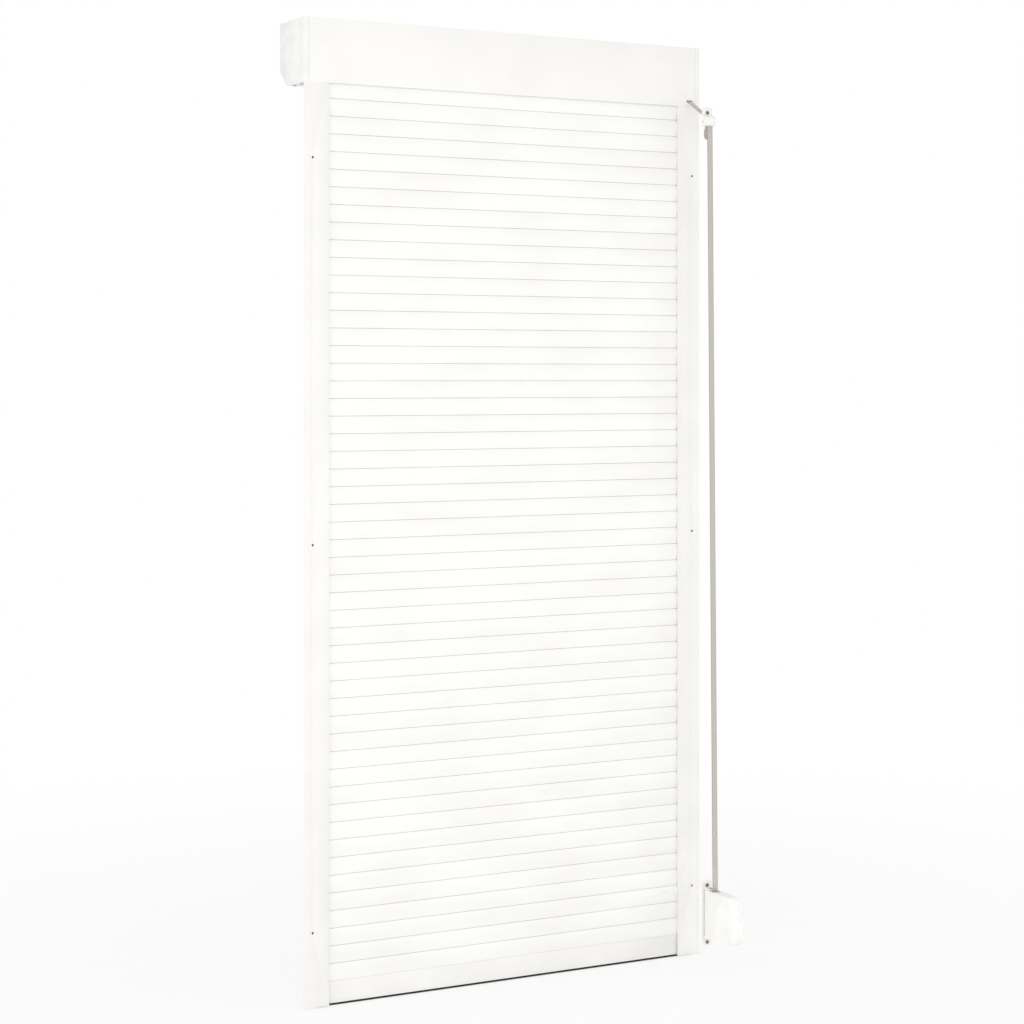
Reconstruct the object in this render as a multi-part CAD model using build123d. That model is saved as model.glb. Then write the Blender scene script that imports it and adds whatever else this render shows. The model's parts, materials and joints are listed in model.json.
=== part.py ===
from build123d import *

import math
import os

# Exterior roller shutter with a strap drive, in millimetres. It is seen from the room: x runs
# across, y away from the room and z up. Sizes are laid out from the middle of the width, the
# face against the window frame and the rail feet. The pieces are written with the origin at
# the centre of the rail screws, half way up the rails.

# Overall size
shutter_width = 1000.0
shutter_height = 2100.0

# Clearances
running_gap = 0.05
seat_gap = 0.1
free_gap = 0.3
overrun = 1.0

# Box
box_height = 137.0
box_depth = 127.0
box_chamfer = 34.0
casing_wall = 1.2
casing_lip = 4.5
casing_return = 9.0
cover_start = 17.0
cover_upstand = 8.0
cap_wall = 3.0
cap_rim_width = 11.0
cap_rim_wall = 1.6
cap_joint = 0.4
cap_lip_length = 6.0
cap_lip_wall = 1.4
spigot_length = 40.0
bearing_boss_wall = 3.0
lip_seal_height = 6.0
lip_seal_reach = 2.5
cover_screw_radius = 1.5
cover_screw_length = 6.0
cover_screw_head_radius = 3.2
cover_screw_head = 1.6
cover_screw_shares = (0.37, 0.83)

# Rails
rail_width = 58.0
rail_depth = 22.0
rail_lean = 10.0
rail_wall = 1.6
chamber_width = 28.0
carrier_width = 8.0
seal_width = 3.0
seal_groove = 2.2
rail_screw_radius = 2.5
rail_screw_inset = 160.0
plug_radius = 5.0
plug_flange_radius = 6.5
plug_flange = 1.2
foot_cap_height = 2.0
foot_cap_plug = 12.0
inlet_height = 19.0
inlet_front = 2.5
inlet_wall = 0.8
inlet_jaw = 4.0
inlet_flare = 3.0

# Curtain
slat_cover = 37.6
slat_depth = 8.0
slat_face = 6.0
slat_wall = 0.5
slat_edge = 1.0
slat_crown = 0.5
slat_joint = 0.8
slat_shoulder = 5.0
slats_in_row = 3
curtain_entry = 5.6
slat_end_room = 40.0
hook_neck = 1.2
hook_head = 4.2
hook_head_height = 1.0
hook_rise = 3.4
hook_mouth = 2.6
clip_flange = 2.0
clip_plug = 14.0
bar_height = 51.0
bar_wall = 1.4
seal_height = 4.5
seal_bulb = 7.2
seal_neck = 3.6
seal_head = 4.8
seal_head_height = 2.6
stop_place = 300.0
stop_width = 30.0
stop_reach = 20.0
stop_height = 29.0
stop_base = 4.0
stop_gap = 0.5

# Roller
roller_inset = 63.0
tube_flats = 40.0
tube_wall = 0.8
tube_side_room = 32.0
plug_insert = 30.0
plug_collar = 3.0
pin_radius = 6.0
bearing_radius = 14.0
bearing_width = 8.0
bearing_race = 2.0
bearing_ball_radius = 1.9
bearing_balls = 9
bearing_boss = 10.0
hanger_width = 20.0
hanger_wall = 0.5
hanger_places = (-300.0, 0.0, 300.0)
hanger_bend = 14.0
tube_screw_radius = 2.0
tube_screw_head_radius = 3.5
tube_screw_head = 1.4
tube_screw_length = 6.0

# Strap and its pulley
strap_width = 14.0
strap_thickness = 1.2
strap_offset = 27.5
strap_exit_rise = 12.0
wheel_side_room = 6.5
pulley_flange_lip = 2.0
pulley_flange = 0.9
pulley_side_gap = 0.3
wound_depth = 9.5
pulley_core_wall = 3.0
pulley_hub_radius = 16.0
pulley_web = 3.0
outlet_lip_radius = 4.1
outlet_flange = 1.0
outlet_border = 2.0
outlet_wall = 0.8
outlet_slot_height = 2.4
outlet_slot_side = 1.0

# Strap guide on the wall, which stands this far on the room side of the box
wall_gap = 70.0
guide_plate = 2.0
guide_plate_half = 11.5
guide_lug_half = 6.8
guide_lug_drop = 61.5
guide_lug_neck = 4.0
guide_screw_drop = 21.0
guide_cover_half = 13.5
guide_cover_wall = 2.0
guide_cover_depth = 16.0
guide_cover_above = 12.0
guide_cover_below = 31.0
guide_shoulder_drop = 12.0
guide_neck_drop = 5.0
guide_cover_tab = 3.0
guide_roller_radius = 7.0
guide_roller_inset = 5.0
guide_roller_drop = 21.0
guide_pin_radius = 1.5
guide_slot_side = 1.5
guide_slot_gap = 1.8
fitting_hole_radius = 2.1
fitting_screw_thread_radius = 2.0
fitting_screw_neck_radius = 1.8
fitting_screw_head_radius = 4.0
fitting_screw_head = 2.2
fitting_screw_length = 20.0
guide_screw_length = 12.0
fitting_screw_slot = 1.0

# Winder
bracket_plate = 4.0
bracket_low = 37.0
bracket_high = 187.0
bracket_corner = 8.0
bracket_screw_spacing = 130.0
bracket_screw_low = 46.0
bracket_ear = 2.5
bracket_ear_radius = 9.0
cassette_half = 13.0
cassette_back_gap = 1.3
cassette_low = 60.0
cassette_high = 168.0
cassette_reach = 130.0
cassette_corner = 38.0
cassette_low_corner = 20.0
cassette_wall = 1.6
cassette_edge = 2.0
cassette_seam = 0.3
cassette_seam_shift = 4.0
pivot_pin_radius = 2.5
pivot_pin_depth = 7.0
pivot_boss_radius = 5.0
inlet_slot_half = 10.0
inlet_slot_room = 9.0
reel_reach = 70.0
reel_flange_radius = 45.0
reel_flange = 1.2
reel_flange_gap = 1.3
reel_drum_radius = 30.0
reel_drum_wall = 1.6
reel_strap_radius = 32.6
axle_radius = 5.0
axle_boss_radius = 8.0
axle_boss = 1.2
axle_seat = 0.9
spring_width = 10.0
spring_wall = 0.5
spring_half_turns = 16
clamp_reach = 11.0
clamp_drop = 10.5
clamp_radius = 4.5
clamp_nose = 8.8
clamp_nose_height = 5.0
clamp_half_width = 7.5
clamp_pin_radius = 1.5
shell_screw_radius = 1.5
shell_screw_head_radius = 3.0
shell_screw_head = 1.2
shell_boss_radius = 3.5
shell_screw_inset = 14.0
shell_corner_screw_share = 0.82

# Worked out from the sizes above
half_width = shutter_width / 2
box_bottom = shutter_height - box_height
curtain_top = box_bottom + curtain_entry
row_count = round((curtain_top - bar_height) / (slat_cover * slats_in_row))
slat_count = row_count * slats_in_row
slat_pitch = (curtain_top - bar_height) / slat_count
datum_height = box_bottom / 2
rail_inner = half_width - rail_width
chamber_inner = half_width - chamber_width
channel_end = chamber_inner - rail_wall
slat_back = slat_face + slat_depth
slat_middle = slat_face + slat_depth / 2
slat_half_length = half_width - slat_end_room
strap_exit_height = box_bottom + strap_exit_rise
wound_radius = min(box_height / 2 - strap_exit_rise, roller_inset - wheel_side_room)
pulley_flange_radius = wound_radius + pulley_flange_lip
pulley_core_radius = wound_radius - wound_depth
roller_height = strap_exit_height + wound_radius
strap_place = half_width - strap_offset
wall_face = -wall_gap
guide_screw_height = box_bottom - guide_screw_drop
guide_cover_low = guide_screw_height - guide_cover_below
guide_cover_high = guide_screw_height + guide_cover_above
guide_roller_height = guide_screw_height - guide_roller_drop
guide_roller_place = wall_face - guide_plate - guide_roller_inset
pivot_place = wall_face - bracket_plate - cassette_back_gap - cassette_half
cassette_front = wall_face - cassette_reach
reel_place = wall_face - reel_reach
reel_height = (cassette_low + cassette_high) / 2
pulley_inner = strap_place - strap_width / 2 - pulley_side_gap - pulley_flange
pulley_outer = strap_place + strap_width / 2 + pulley_side_gap + pulley_flange
box_outline = [
    (0, box_bottom),
    (box_depth - box_chamfer, box_bottom),
    (box_depth, box_bottom + box_chamfer),
    (box_depth, shutter_height),
    (0, shutter_height),
]
end_skin = half_width - cap_rim_width - cap_joint
end_lip = half_width - cap_rim_width - cap_lip_length


# Shapes that the pieces share


def along_x(outline, start, end):
    """An outline drawn as (y, z), run along x."""
    return extrude(Plane.YZ.offset(start) * outline, end - start, dir=(1, 0, 0))


def along_z(outline, start, end):
    """An outline drawn as (x, y), run along z."""
    return extrude(Plane.XY.offset(start) * outline, end - start, dir=(0, 0, 1))


def along_y(outline, start, end):
    """An outline drawn as (x, z), run along y."""
    plane = Plane(origin=(0, start, 0), x_dir=(1, 0, 0), z_dir=(0, -1, 0))
    return extrude(plane * outline, end - start, dir=(0, 1, 0))


def outline_of(points):
    return Polygon(*points, align=None)


def block(x_span, y_span, z_span):
    """A box between two places on each axis."""
    sizes = [abs(b - a) for a, b in (x_span, y_span, z_span)]
    middles = [(a + b) / 2 for a, b in (x_span, y_span, z_span)]
    return Pos(*middles) * Box(*sizes)


def rod_x(radius, start, end, y, z):
    """A round rod along x."""
    return along_x(Pos(y, z) * Circle(radius), start, end)


def rod_y(radius, start, end, x, z):
    """A round rod along y."""
    return along_y(Pos(x, z) * Circle(radius), start, end)


def rod_z(radius, start, end, x, y):
    """A round rod along z."""
    return along_z(Pos(x, y) * Circle(radius), start, end)


def both_sides(shape):
    """A piece and its mirror image at the other side of the shutter."""
    return [shape, mirror(shape, about=Plane.YZ)]


def shifted(points, distance, closed=False):
    """The corners of a path moved to its left, mitred where it turns."""
    moved = []
    last = len(points) - 1
    for i, (a, b) in enumerate(points):
        normals = []
        if closed or i > 0:
            before = points[i - 1]
            length = math.dist(before, points[i])
            normals.append(((before[1] - b) / length, (a - before[0]) / length))
        if closed or i < last:
            after = points[(i + 1) % len(points)]
            length = math.dist(after, points[i])
            normals.append(((b - after[1]) / length, (after[0] - a) / length))
        first, second = normals[0], normals[-1]
        spread = 1 + first[0] * second[0] + first[1] * second[1]
        share = distance / spread if len(normals) > 1 else distance / 2
        moved.append((a + (first[0] + second[0]) * share, b + (first[1] + second[1]) * share))
    return moved


def sheet(points, wall):
    """A bent sheet: the path and its copy moved to the left by the wall."""
    return outline_of(points + shifted(points, wall)[::-1])


def inset_box(distance):
    """The box's outline, drawn in by a distance all round."""
    return outline_of(shifted(box_outline, distance, closed=True))


def strip(points, radii, thickness):
    """A strip of even thickness along straight runs with tangent bends."""
    return trace(FilletPolyline(*points, radius=radii), line_width=thickness)


def octagon(flats):
    """An eight-sided outline round the roller's axis."""
    shape = RegularPolygon(flats / 2, 8, major_radius=False, rotation=22.5)
    return Pos(roller_inset, roller_height) * shape


# The strap's route, in (y, z), as the lines that touch the circles it runs round


def touching_line(centre_a, reach_a, centre_b, reach_b):
    """Two points of the line that passes two circles, each to its left by a signed radius."""
    gap = math.dist(centre_a, centre_b)
    heading = math.atan2(centre_b[1] - centre_a[1], centre_b[0] - centre_a[0])
    heading += math.asin((reach_b - reach_a) / gap)
    left = (-math.sin(heading), math.cos(heading))
    return [(c[0] + left[0] * r, c[1] + left[1] * r)
            for c, r in ((centre_a, reach_a), (centre_b, reach_b))]


def crossing(line_a, line_b):
    """Where two lines meet."""
    (a, b), (c, d) = line_a
    (e, f), (g, h) = line_b
    across = (c - a) * (h - f) - (d - b) * (g - e)
    share = ((e - a) * (h - f) - (f - b) * (g - e)) / across
    return (a + (c - a) * share, b + (d - b) * share)


half_strap = strap_thickness / 2
lip_bend = outlet_lip_radius + free_gap + half_strap
roller_bend = guide_roller_radius + free_gap + half_strap
lip_centre = (0, strap_exit_height - lip_bend)
guide_centre = (guide_roller_place, guide_roller_height)
reel_centre = (reel_place, reel_height)
exit_line = [(roller_inset, strap_exit_height), (0, strap_exit_height)]
slant_line = touching_line(lip_centre, -lip_bend, guide_centre, -roller_bend)
fall_line = touching_line(guide_centre, -roller_bend, reel_centre, reel_strap_radius)
strap_route = [exit_line[0], crossing(exit_line, slant_line), crossing(slant_line, fall_line), fall_line[1]]
strap_entry = crossing(fall_line, [(0, cassette_high), (1, cassette_high)])


# Box


def casing_shell():
    """Room wall, top and outside wall, with the strap's slot."""
    skin = along_x(
        sheet([box_outline[0], box_outline[4], box_outline[3], box_outline[2]], -casing_wall),
        -end_skin, end_skin)
    short = end_lip - cap_joint
    lip = block((-short, short), (0, casing_lip), (box_bottom, box_bottom + casing_wall))
    fold_height = box_bottom + box_chamfer
    fold = block((-short, short), (box_depth - casing_return, box_depth - casing_wall / 2),
                 (fold_height, fold_height + casing_wall))
    return skin + lip + fold - outlet_hole(seat_gap)


def inspection_cover():
    """Underside and slanted front, screwed to the end caps from below."""
    fold_height = box_bottom + box_chamfer - free_gap
    edge = (box_depth - casing_wall - free_gap, fold_height - casing_wall)
    skin = along_x(sheet([(cover_start, box_bottom), box_outline[1], edge], casing_wall),
                   -end_skin, end_skin)
    short = end_lip - cap_joint
    upstand = block((-short, short), (cover_start, cover_start + casing_wall),
                    (box_bottom, box_bottom + cover_upstand))
    fold = block((-short, short), (box_depth - casing_return, edge[0] - casing_wall),
                 (fold_height - casing_wall, fold_height))
    cover = skin + upstand + fold
    for x, y in cover_screw_spots():
        hole = rod_z(cover_screw_radius + seat_gap, box_bottom - overrun, box_bottom + cover_upstand, x, y)
        cover -= hole
    return cover


def cover_screw_spots():
    run = box_depth - box_chamfer - cover_start
    return [(side * (end_lip + cap_lip_length / 2), cover_start + share * run)
            for side in (-1, 1) for share in cover_screw_shares]


def cover_screws():
    """Pan-head screws from below into the end caps."""
    return [rod_z(cover_screw_radius, box_bottom - overrun / 2, box_bottom + cover_screw_length, x, y)
            + rod_z(cover_screw_head_radius, box_bottom - cover_screw_head, box_bottom, x, y)
            for x, y in cover_screw_spots()]


def end_cap():
    """The right end cap: plate, rim, lip behind the casing, bearing boss and rail spigot."""
    plate = along_x(inset_box(0), half_width - cap_wall, half_width)
    rim = along_x(inset_box(0) - inset_box(cap_rim_wall), half_width - cap_rim_width, half_width)
    inside = casing_wall + seat_gap
    lip = along_x(inset_box(inside) - inset_box(inside + cap_lip_wall), end_lip, half_width)
    seat = bearing_radius + running_gap
    boss = rod_x(seat + bearing_boss_wall, half_width - cap_wall - bearing_boss, half_width,
                 roller_inset, roller_height)
    boss -= rod_x(seat, half_width - cap_wall - bearing_boss, half_width - cap_wall,
                  roller_inset, roller_height)
    spigot = along_z(rail_hollow(free_gap), box_bottom - spigot_length, box_bottom)
    root = along_z(rail_hollow(free_gap), box_bottom - overrun, box_bottom + cap_rim_wall / 2)
    root &= block((half_width - cap_rim_width + cap_joint, half_width), (0, rail_depth),
                  (box_bottom - overrun, box_bottom + cap_rim_wall / 2))
    cap = plate + rim + lip + boss + spigot + root
    for x, y in cover_screw_spots():
        cap -= rod_z(cover_screw_radius + running_gap, box_bottom + casing_wall,
                     box_bottom + cover_screw_length + overrun, x, y)
    return cap


def rail_inlet():
    """The funnel over the right rail's channel, flared for the slats."""
    start = rail_inner + seal_width
    end = slat_half_length + clip_flange + free_gap + inlet_wall
    low = box_bottom + casing_wall + free_gap
    high = low + inlet_height
    body = block((start, end), (inlet_front, slat_back + inlet_jaw), (low, high))
    body -= block((start - overrun, end - inlet_wall), (slat_face - overrun, slat_back + overrun),
                  (low - overrun, high + overrun))
    flare = Polygon((slat_face - overrun, high - inlet_flare), (slat_back + overrun, high - inlet_flare),
                    (slat_back + inlet_flare, high + overrun), (slat_face - inlet_flare, high + overrun),
                    align=None)
    body -= along_x(flare, start - overrun, end - inlet_wall)
    ledge = block((start - overrun, end + overrun), (cover_start - free_gap, rail_depth),
                  (low - overrun, box_bottom + cover_upstand + free_gap))
    return body - ledge


def box_lip_seal():
    """Pile strip on the cover's upstand, against the outside of the curtain."""
    low = box_bottom + seat_gap
    end = rail_inner + seal_width - free_gap
    back = cover_start - seat_gap
    return block((-end, end), (back - lip_seal_reach, back), (low, low + lip_seal_height))


# Rails


def rail_screw_heights():
    return [rail_screw_inset, datum_height, box_bottom - rail_screw_inset]


def rail_screw_place():
    return (chamber_inner + half_width - rail_lean - rail_wall) / 2


def rail_outline(start):
    """The rail's outline from a place outwards; its outer side leans in behind the room face."""
    return outline_of([(start, 0), (half_width, 0), (half_width, rail_wall),
                       (half_width - rail_lean, rail_depth), (start, rail_depth)])


def rail_hollow(inset):
    """The chamber's outline, smaller by an inset on every side."""
    near = rail_wall + inset
    far = rail_depth - near
    side = half_width - near
    lean = rail_lean / (rail_depth - rail_wall)
    return outline_of([(chamber_inner + inset, near), (side - lean * (near - rail_wall), near),
                       (side - lean * (far - rail_wall), far), (chamber_inner + inset, far)])


def guide_rail():
    """The right rail: a closed chamber beside the slats' channel, with seal grooves."""
    back = rail_depth - rail_wall
    throat = rail_inner + carrier_width
    channel = outline_of([(rail_inner - overrun, slat_face - overrun), (throat, slat_face - overrun),
                          (throat, rail_wall), (channel_end, rail_wall), (channel_end, back),
                          (throat, back), (throat, cover_start), (rail_inner - overrun, cover_start)])
    section = rail_outline(rail_inner) - rail_hollow(0) - channel
    for low, high in ((slat_face - overrun - seal_groove, slat_face), (slat_back, cover_start + seal_groove)):
        place = rail_inner + carrier_width / 2
        section -= outline_of([(place - seal_width / 2, low), (place + seal_width / 2, low),
                               (place + seal_width / 2, high), (place - seal_width / 2, high)])
    rail = along_z(section, foot_cap_height, box_bottom)
    screw_place, middle = rail_screw_place(), rail_depth / 2
    for height in rail_screw_heights():
        rail -= rod_y(rail_screw_radius, -overrun, middle, screw_place, height)
        rail -= rod_y(plug_radius + seat_gap, middle, rail_depth + overrun, screw_place, height)
    return rail


def rail_lip_seals():
    """Soft strips in the grooves on both sides of the curtain, in both rails."""
    place = rail_inner + carrier_width / 2
    half = seal_width / 2 - seat_gap
    across, tall = (place - half, place + half), (foot_cap_height, box_bottom)
    room = block(across, (slat_face - overrun - seal_groove + seat_gap, slat_face - free_gap), tall)
    outside = block(across, (slat_back + free_gap, cover_start + seal_groove - seat_gap), tall)
    return both_sides(room) + both_sides(outside)


def rail_foot_caps():
    """Plastic feet that close the chambers below."""
    foot = along_z(rail_outline(channel_end), 0, foot_cap_height)
    foot += along_z(rail_hollow(seat_gap), foot_cap_height - overrun, foot_cap_height + foot_cap_plug)
    return both_sides(foot)


def rail_hole_plugs():
    """Snap-in plugs over the screws, on the outside of the rails."""
    plugs = []
    for height in rail_screw_heights():
        plug = rod_y(plug_radius, rail_depth - rail_wall * 2, rail_depth, rail_screw_place(), height)
        plug += rod_y(plug_flange_radius, rail_depth, rail_depth + plug_flange, rail_screw_place(), height)
        plugs += both_sides(plug)
    return plugs


# Curtain


def crowned(inset, low, high, flat=0.0):
    """An outline with gently crowned sides, in (y, z) about the middle of the curtain."""
    half = slat_depth / 2 - inset
    edge = half - slat_crown
    middle = (low + high) / 2
    sides = (Line((-edge, high), (edge, high))
             + ThreePointArc((edge, high), (half - flat, middle), (edge, low))
             + Line((edge, low), (-edge, low))
             + ThreePointArc((-edge, low), (flat - half, middle), (-edge, high)))
    return make_face(sides)


def hook(height):
    """The shoulder that backs the joint, and the neck and head that hang in the slat above."""
    root = height - slat_edge / 2
    shoulder_top = height + slat_joint - seat_gap
    shoulder = outline_of([(-slat_shoulder / 2, root), (slat_shoulder / 2, root),
                           (slat_shoulder / 2, shoulder_top), (-slat_shoulder / 2, shoulder_top)])
    neck = outline_of([(-hook_neck / 2, root), (hook_neck / 2, root),
                       (hook_neck / 2, height + hook_rise), (-hook_neck / 2, height + hook_rise)])
    top = height + hook_rise + hook_head_height
    head = outline_of([(-hook_head / 2, height + hook_rise), (hook_head / 2, height + hook_rise),
                       (hook_head / 2, top), (-hook_head / 2, top)])
    return shoulder + neck + head


def slat_outline():
    """A hollow slat: two skins, an edge with a mouth below and a hook on top."""
    low = slat_joint / 2
    high = slat_pitch - slat_joint / 2
    shape = crowned(0, low, high) - crowned(slat_wall, low + slat_edge, high - slat_wall)
    mouth_top = low + slat_edge + overrun
    mouth = outline_of([(-hook_mouth / 2, low - overrun), (hook_mouth / 2, low - overrun),
                        (hook_mouth / 2, mouth_top), (-hook_mouth / 2, mouth_top)])
    return shape - mouth + hook(high)


def clip_outline():
    low = slat_joint / 2
    return crowned(0, low, slat_pitch - slat_joint / 2)


def slat_row(row):
    """Slats that hang in one another, every second one with its end clips."""
    shapes = []
    outline = slat_outline()
    room = slat_edge + hook_rise + hook_head_height
    for k in range(row * slats_in_row, (row + 1) * slats_in_row):
        place = Pos(0, slat_middle, bar_height + k * slat_pitch)
        shapes.append(place * along_x(outline, -slat_half_length, slat_half_length))
        if k % 2 == 0:
            plug = crowned(slat_wall + seat_gap, slat_joint / 2 + room, slat_pitch - slat_joint - slat_wall)
            clip = along_x(clip_outline(), slat_half_length, slat_half_length + clip_flange)
            clip += along_x(plug, slat_half_length - clip_plug, slat_half_length)
            shapes += [place * side for side in both_sides(clip)]
    return shapes


def bottom_bar():
    """The heavier end bar, hollow, with a hook on top and a groove for the seal below."""
    low = seal_height
    groove_top = low + bar_wall + seal_head_height + seat_gap
    high = bar_height - slat_joint / 2
    shape = crowned(0, low, high) - crowned(bar_wall, groove_top + bar_wall, high - bar_wall)
    neck = seal_neck / 2 + seat_gap
    head = seal_head / 2 + seat_gap
    groove = outline_of([(-neck, low - overrun), (neck, low - overrun), (neck, low + bar_wall),
                         (head, low + bar_wall), (head, groove_top), (-head, groove_top),
                         (-head, low + bar_wall), (-neck, low + bar_wall)])
    shape = shape - groove + hook(high)
    return Pos(0, slat_middle, 0) * along_x(shape, -slat_half_length, slat_half_length)


def bottom_seal():
    """Rubber strip under the bottom bar: a bulb below and a head in the groove."""
    neck_top = seal_height + bar_wall + seat_gap
    low_half = seal_bulb / 2
    bulb_top = seal_height - seat_gap
    head_top = neck_top + seal_head_height - seat_gap * 2
    outline = outline_of([(-low_half, 0), (low_half, 0), (low_half, bulb_top),
                          (seal_neck / 2, bulb_top), (seal_neck / 2, neck_top),
                          (seal_head / 2, neck_top), (seal_head / 2, head_top),
                          (-seal_head / 2, head_top), (-seal_head / 2, neck_top),
                          (-seal_neck / 2, neck_top), (-seal_neck / 2, bulb_top),
                          (-low_half, bulb_top)])
    return Pos(0, slat_middle, 0) * along_x(outline, -slat_half_length, slat_half_length)


def bottom_bar_end_caps():
    """Plastic gliders that close the bar's ends and run in the channels."""
    high = bar_height - slat_joint / 2
    hollow_low = seal_height + bar_wall * 2 + seal_head_height + seat_gap * 2
    cap = along_x(crowned(0, seal_height, high), slat_half_length, slat_half_length + clip_flange)
    cap += along_x(crowned(bar_wall + seat_gap, hollow_low, high - bar_wall - seat_gap),
                   slat_half_length - clip_plug, slat_half_length)
    return both_sides(Pos(0, slat_middle, 0) * cap)


def lift_stops():
    """Buffers on the outside of the bar that meet the underside of the box."""
    front = slat_back + seat_gap
    outline = outline_of([(front, bar_height - stop_height), (front + stop_base, bar_height - stop_height),
                          (front + stop_reach, bar_height - stop_base * 2), (front + stop_reach, bar_height),
                          (front, bar_height)])
    stop = along_x(outline, stop_place - stop_width / 2, stop_place + stop_width / 2)
    return both_sides(stop)


# Roller


def tube_start():
    return -(half_width - tube_side_room)


def roller_tube():
    """Octagonal steel tube between the left plug and the strap pulley."""
    section = octagon(tube_flats) - octagon(tube_flats - tube_wall * 2)
    tube = along_x(section, tube_start(), pulley_inner - plug_collar)
    for x, side in tube_screw_spots():
        tube -= rod_y(tube_screw_radius + seat_gap, roller_inset - tube_flats, roller_inset, x, roller_height)
    return tube


def tube_screw_spots():
    left = tube_start() + plug_insert / 2
    right = pulley_inner - plug_collar - plug_insert / 2
    return [(left, -1), (right, 1)]


def tube_insert(start, end):
    """The part of a plug that fits inside the tube, with its screw hole."""
    insert = along_x(octagon(tube_flats - tube_wall * 2 - free_gap), start, end)
    middle = (start + end) / 2
    insert -= rod_y(tube_screw_radius + running_gap, roller_inset - tube_flats,
                    roller_inset - tube_flats / 2 + tube_screw_length, middle, roller_height)
    return insert


def journal(start, end):
    """A bearing pin on the roller's axis."""
    return rod_x(pin_radius - running_gap, start, end, roller_inset, roller_height)


def tube_end_plug():
    """The left plug, with a collar and a pin for the bearing."""
    start = tube_start()
    plug = tube_insert(start, start + plug_insert)
    plug += along_x(octagon(tube_flats), start - plug_collar, start)
    return plug + journal(-(half_width - cap_wall - overrun), start)


def strap_pulley():
    """The belt wheel at the right, with its octagonal hub and its bearing pin."""
    wheel = rod_x(pulley_flange_radius, pulley_inner, pulley_outer, roller_inset, roller_height)
    groove = rod_x(pulley_flange_radius + overrun, pulley_inner + pulley_flange, pulley_outer - pulley_flange,
                   roller_inset, roller_height)
    core = rod_x(pulley_core_radius, pulley_inner, pulley_outer, roller_inset, roller_height)
    recess = ring_x(pulley_core_radius - pulley_core_wall, pulley_hub_radius, pulley_inner + pulley_web,
                    pulley_outer + overrun, roller_inset, roller_height)
    collar = along_x(octagon(tube_flats), pulley_inner - plug_collar, pulley_inner)
    insert_end = pulley_inner - plug_collar
    wheel = wheel - groove + core - recess + collar
    wheel += tube_insert(insert_end - plug_insert, insert_end)
    return wheel + journal(pulley_outer - overrun, half_width - cap_wall - overrun)


def ring_x(outer, inner, start, end, y, z):
    """A round ring along x."""
    return along_x(Pos(y, z) * (Circle(outer) - Circle(inner)), start, end)


def pulley_strap_winding():
    """The strap that is wound on the pulley while the curtain is down."""
    outer = wound_radius - half_strap - free_gap
    half = strap_width / 2
    return ring_x(outer, pulley_core_radius + running_gap, strap_place - half, strap_place + half,
                  roller_inset, roller_height)


def tube_bearing():
    """The right ball bearing: outer ring, inner ring and balls."""
    end = half_width - cap_wall - running_gap
    start = end - bearing_width
    outer = ring_x(bearing_radius, bearing_radius - bearing_race, start, end, roller_inset, roller_height)
    inner = ring_x(pin_radius + bearing_race, pin_radius, start, end, roller_inset, roller_height)
    reach = (bearing_radius + pin_radius) / 2
    balls = []
    for k in range(bearing_balls):
        angle = 2 * math.pi * k / bearing_balls
        place = (roller_inset + reach * math.cos(angle), roller_height + reach * math.sin(angle))
        balls.append(Pos((start + end) / 2, *place) * Sphere(bearing_ball_radius))
    return [outer, inner, *balls]


def tube_screws():
    """Self-tapping screws that hold the plug and the pulley in the tube."""
    face = roller_inset - tube_flats / 2
    return [rod_y(tube_screw_radius, face, face + tube_screw_length - overrun, x, roller_height)
            + rod_y(tube_screw_head_radius, face - tube_screw_head, face, x, roller_height)
            for x, side in tube_screw_spots()]


def curtain_hangers():
    """Spring-steel strips from the tube to the top slat's hook."""
    top_hook = curtain_top + hook_rise + hook_head_height
    face = roller_inset - tube_flats / 2 - free_gap - hanger_wall / 2
    low = top_hook + free_gap
    points = [(face, roller_height + tube_flats / 6), (face, roller_height - tube_flats / 2),
              (slat_middle, low + hanger_bend * 1.5), (slat_middle, low)]
    outline = strip(points, [hanger_bend, hanger_bend], hanger_wall)
    half = hanger_width / 2
    return [along_x(outline, x - half, x + half) for x in hanger_places]


# Strap, its outlet and its guide on the wall


def strap():
    """The free run: from the pulley, over the outlet and the guide, down to the reel."""
    half = strap_width / 2
    return along_x(strip(strap_route, [lip_bend, roller_bend], strap_thickness),
                   strap_place - half, strap_place + half)


def outlet_slot():
    """The inside of the outlet's collar: (x span, z span), its lip included."""
    half = strap_width / 2 + outlet_slot_side
    low = lip_centre[1] - outlet_lip_radius + outlet_wall / 2
    return (strap_place - half, strap_place + half), (low, strap_exit_height + outlet_slot_height)


def outlet_hole(gap):
    """The hole in the casing that the outlet's collar sits in."""
    (left, right), (low, high) = outlet_slot()
    grow = outlet_wall + gap
    return block((left - grow, right + grow), (-overrun, casing_wall + overrun), (low - grow, high + grow))


def strap_outlet():
    """Plastic outlet: flange on the room wall, collar through it and a rounded lip."""
    (left, right), (low, high) = outlet_slot()
    collar = block((left - outlet_wall, right + outlet_wall), (-outlet_flange, casing_wall + overrun),
                   (low - outlet_wall, high + outlet_wall))
    border = outlet_border
    flange = block((left - border, right + border), (-outlet_flange, 0), (low - border, high + border))
    outlet = flange + collar - block((left, right), (-outlet_flange - overrun, box_depth), (low, high))
    lip = rod_x(outlet_lip_radius, left - outlet_wall / 2, right + outlet_wall / 2, *lip_centre)
    return outlet + lip


def fitting_screw_spots():
    """Height, seat and length of the screws of the guide and of the winder."""
    guide_seat = wall_face - guide_plate - guide_cover_tab
    bracket_seat = wall_face - bracket_plate
    return [(guide_screw_height, guide_seat, guide_screw_length),
            (bracket_screw_low + bracket_screw_spacing, bracket_seat, fitting_screw_length),
            (bracket_screw_low, bracket_seat, fitting_screw_length)]


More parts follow.
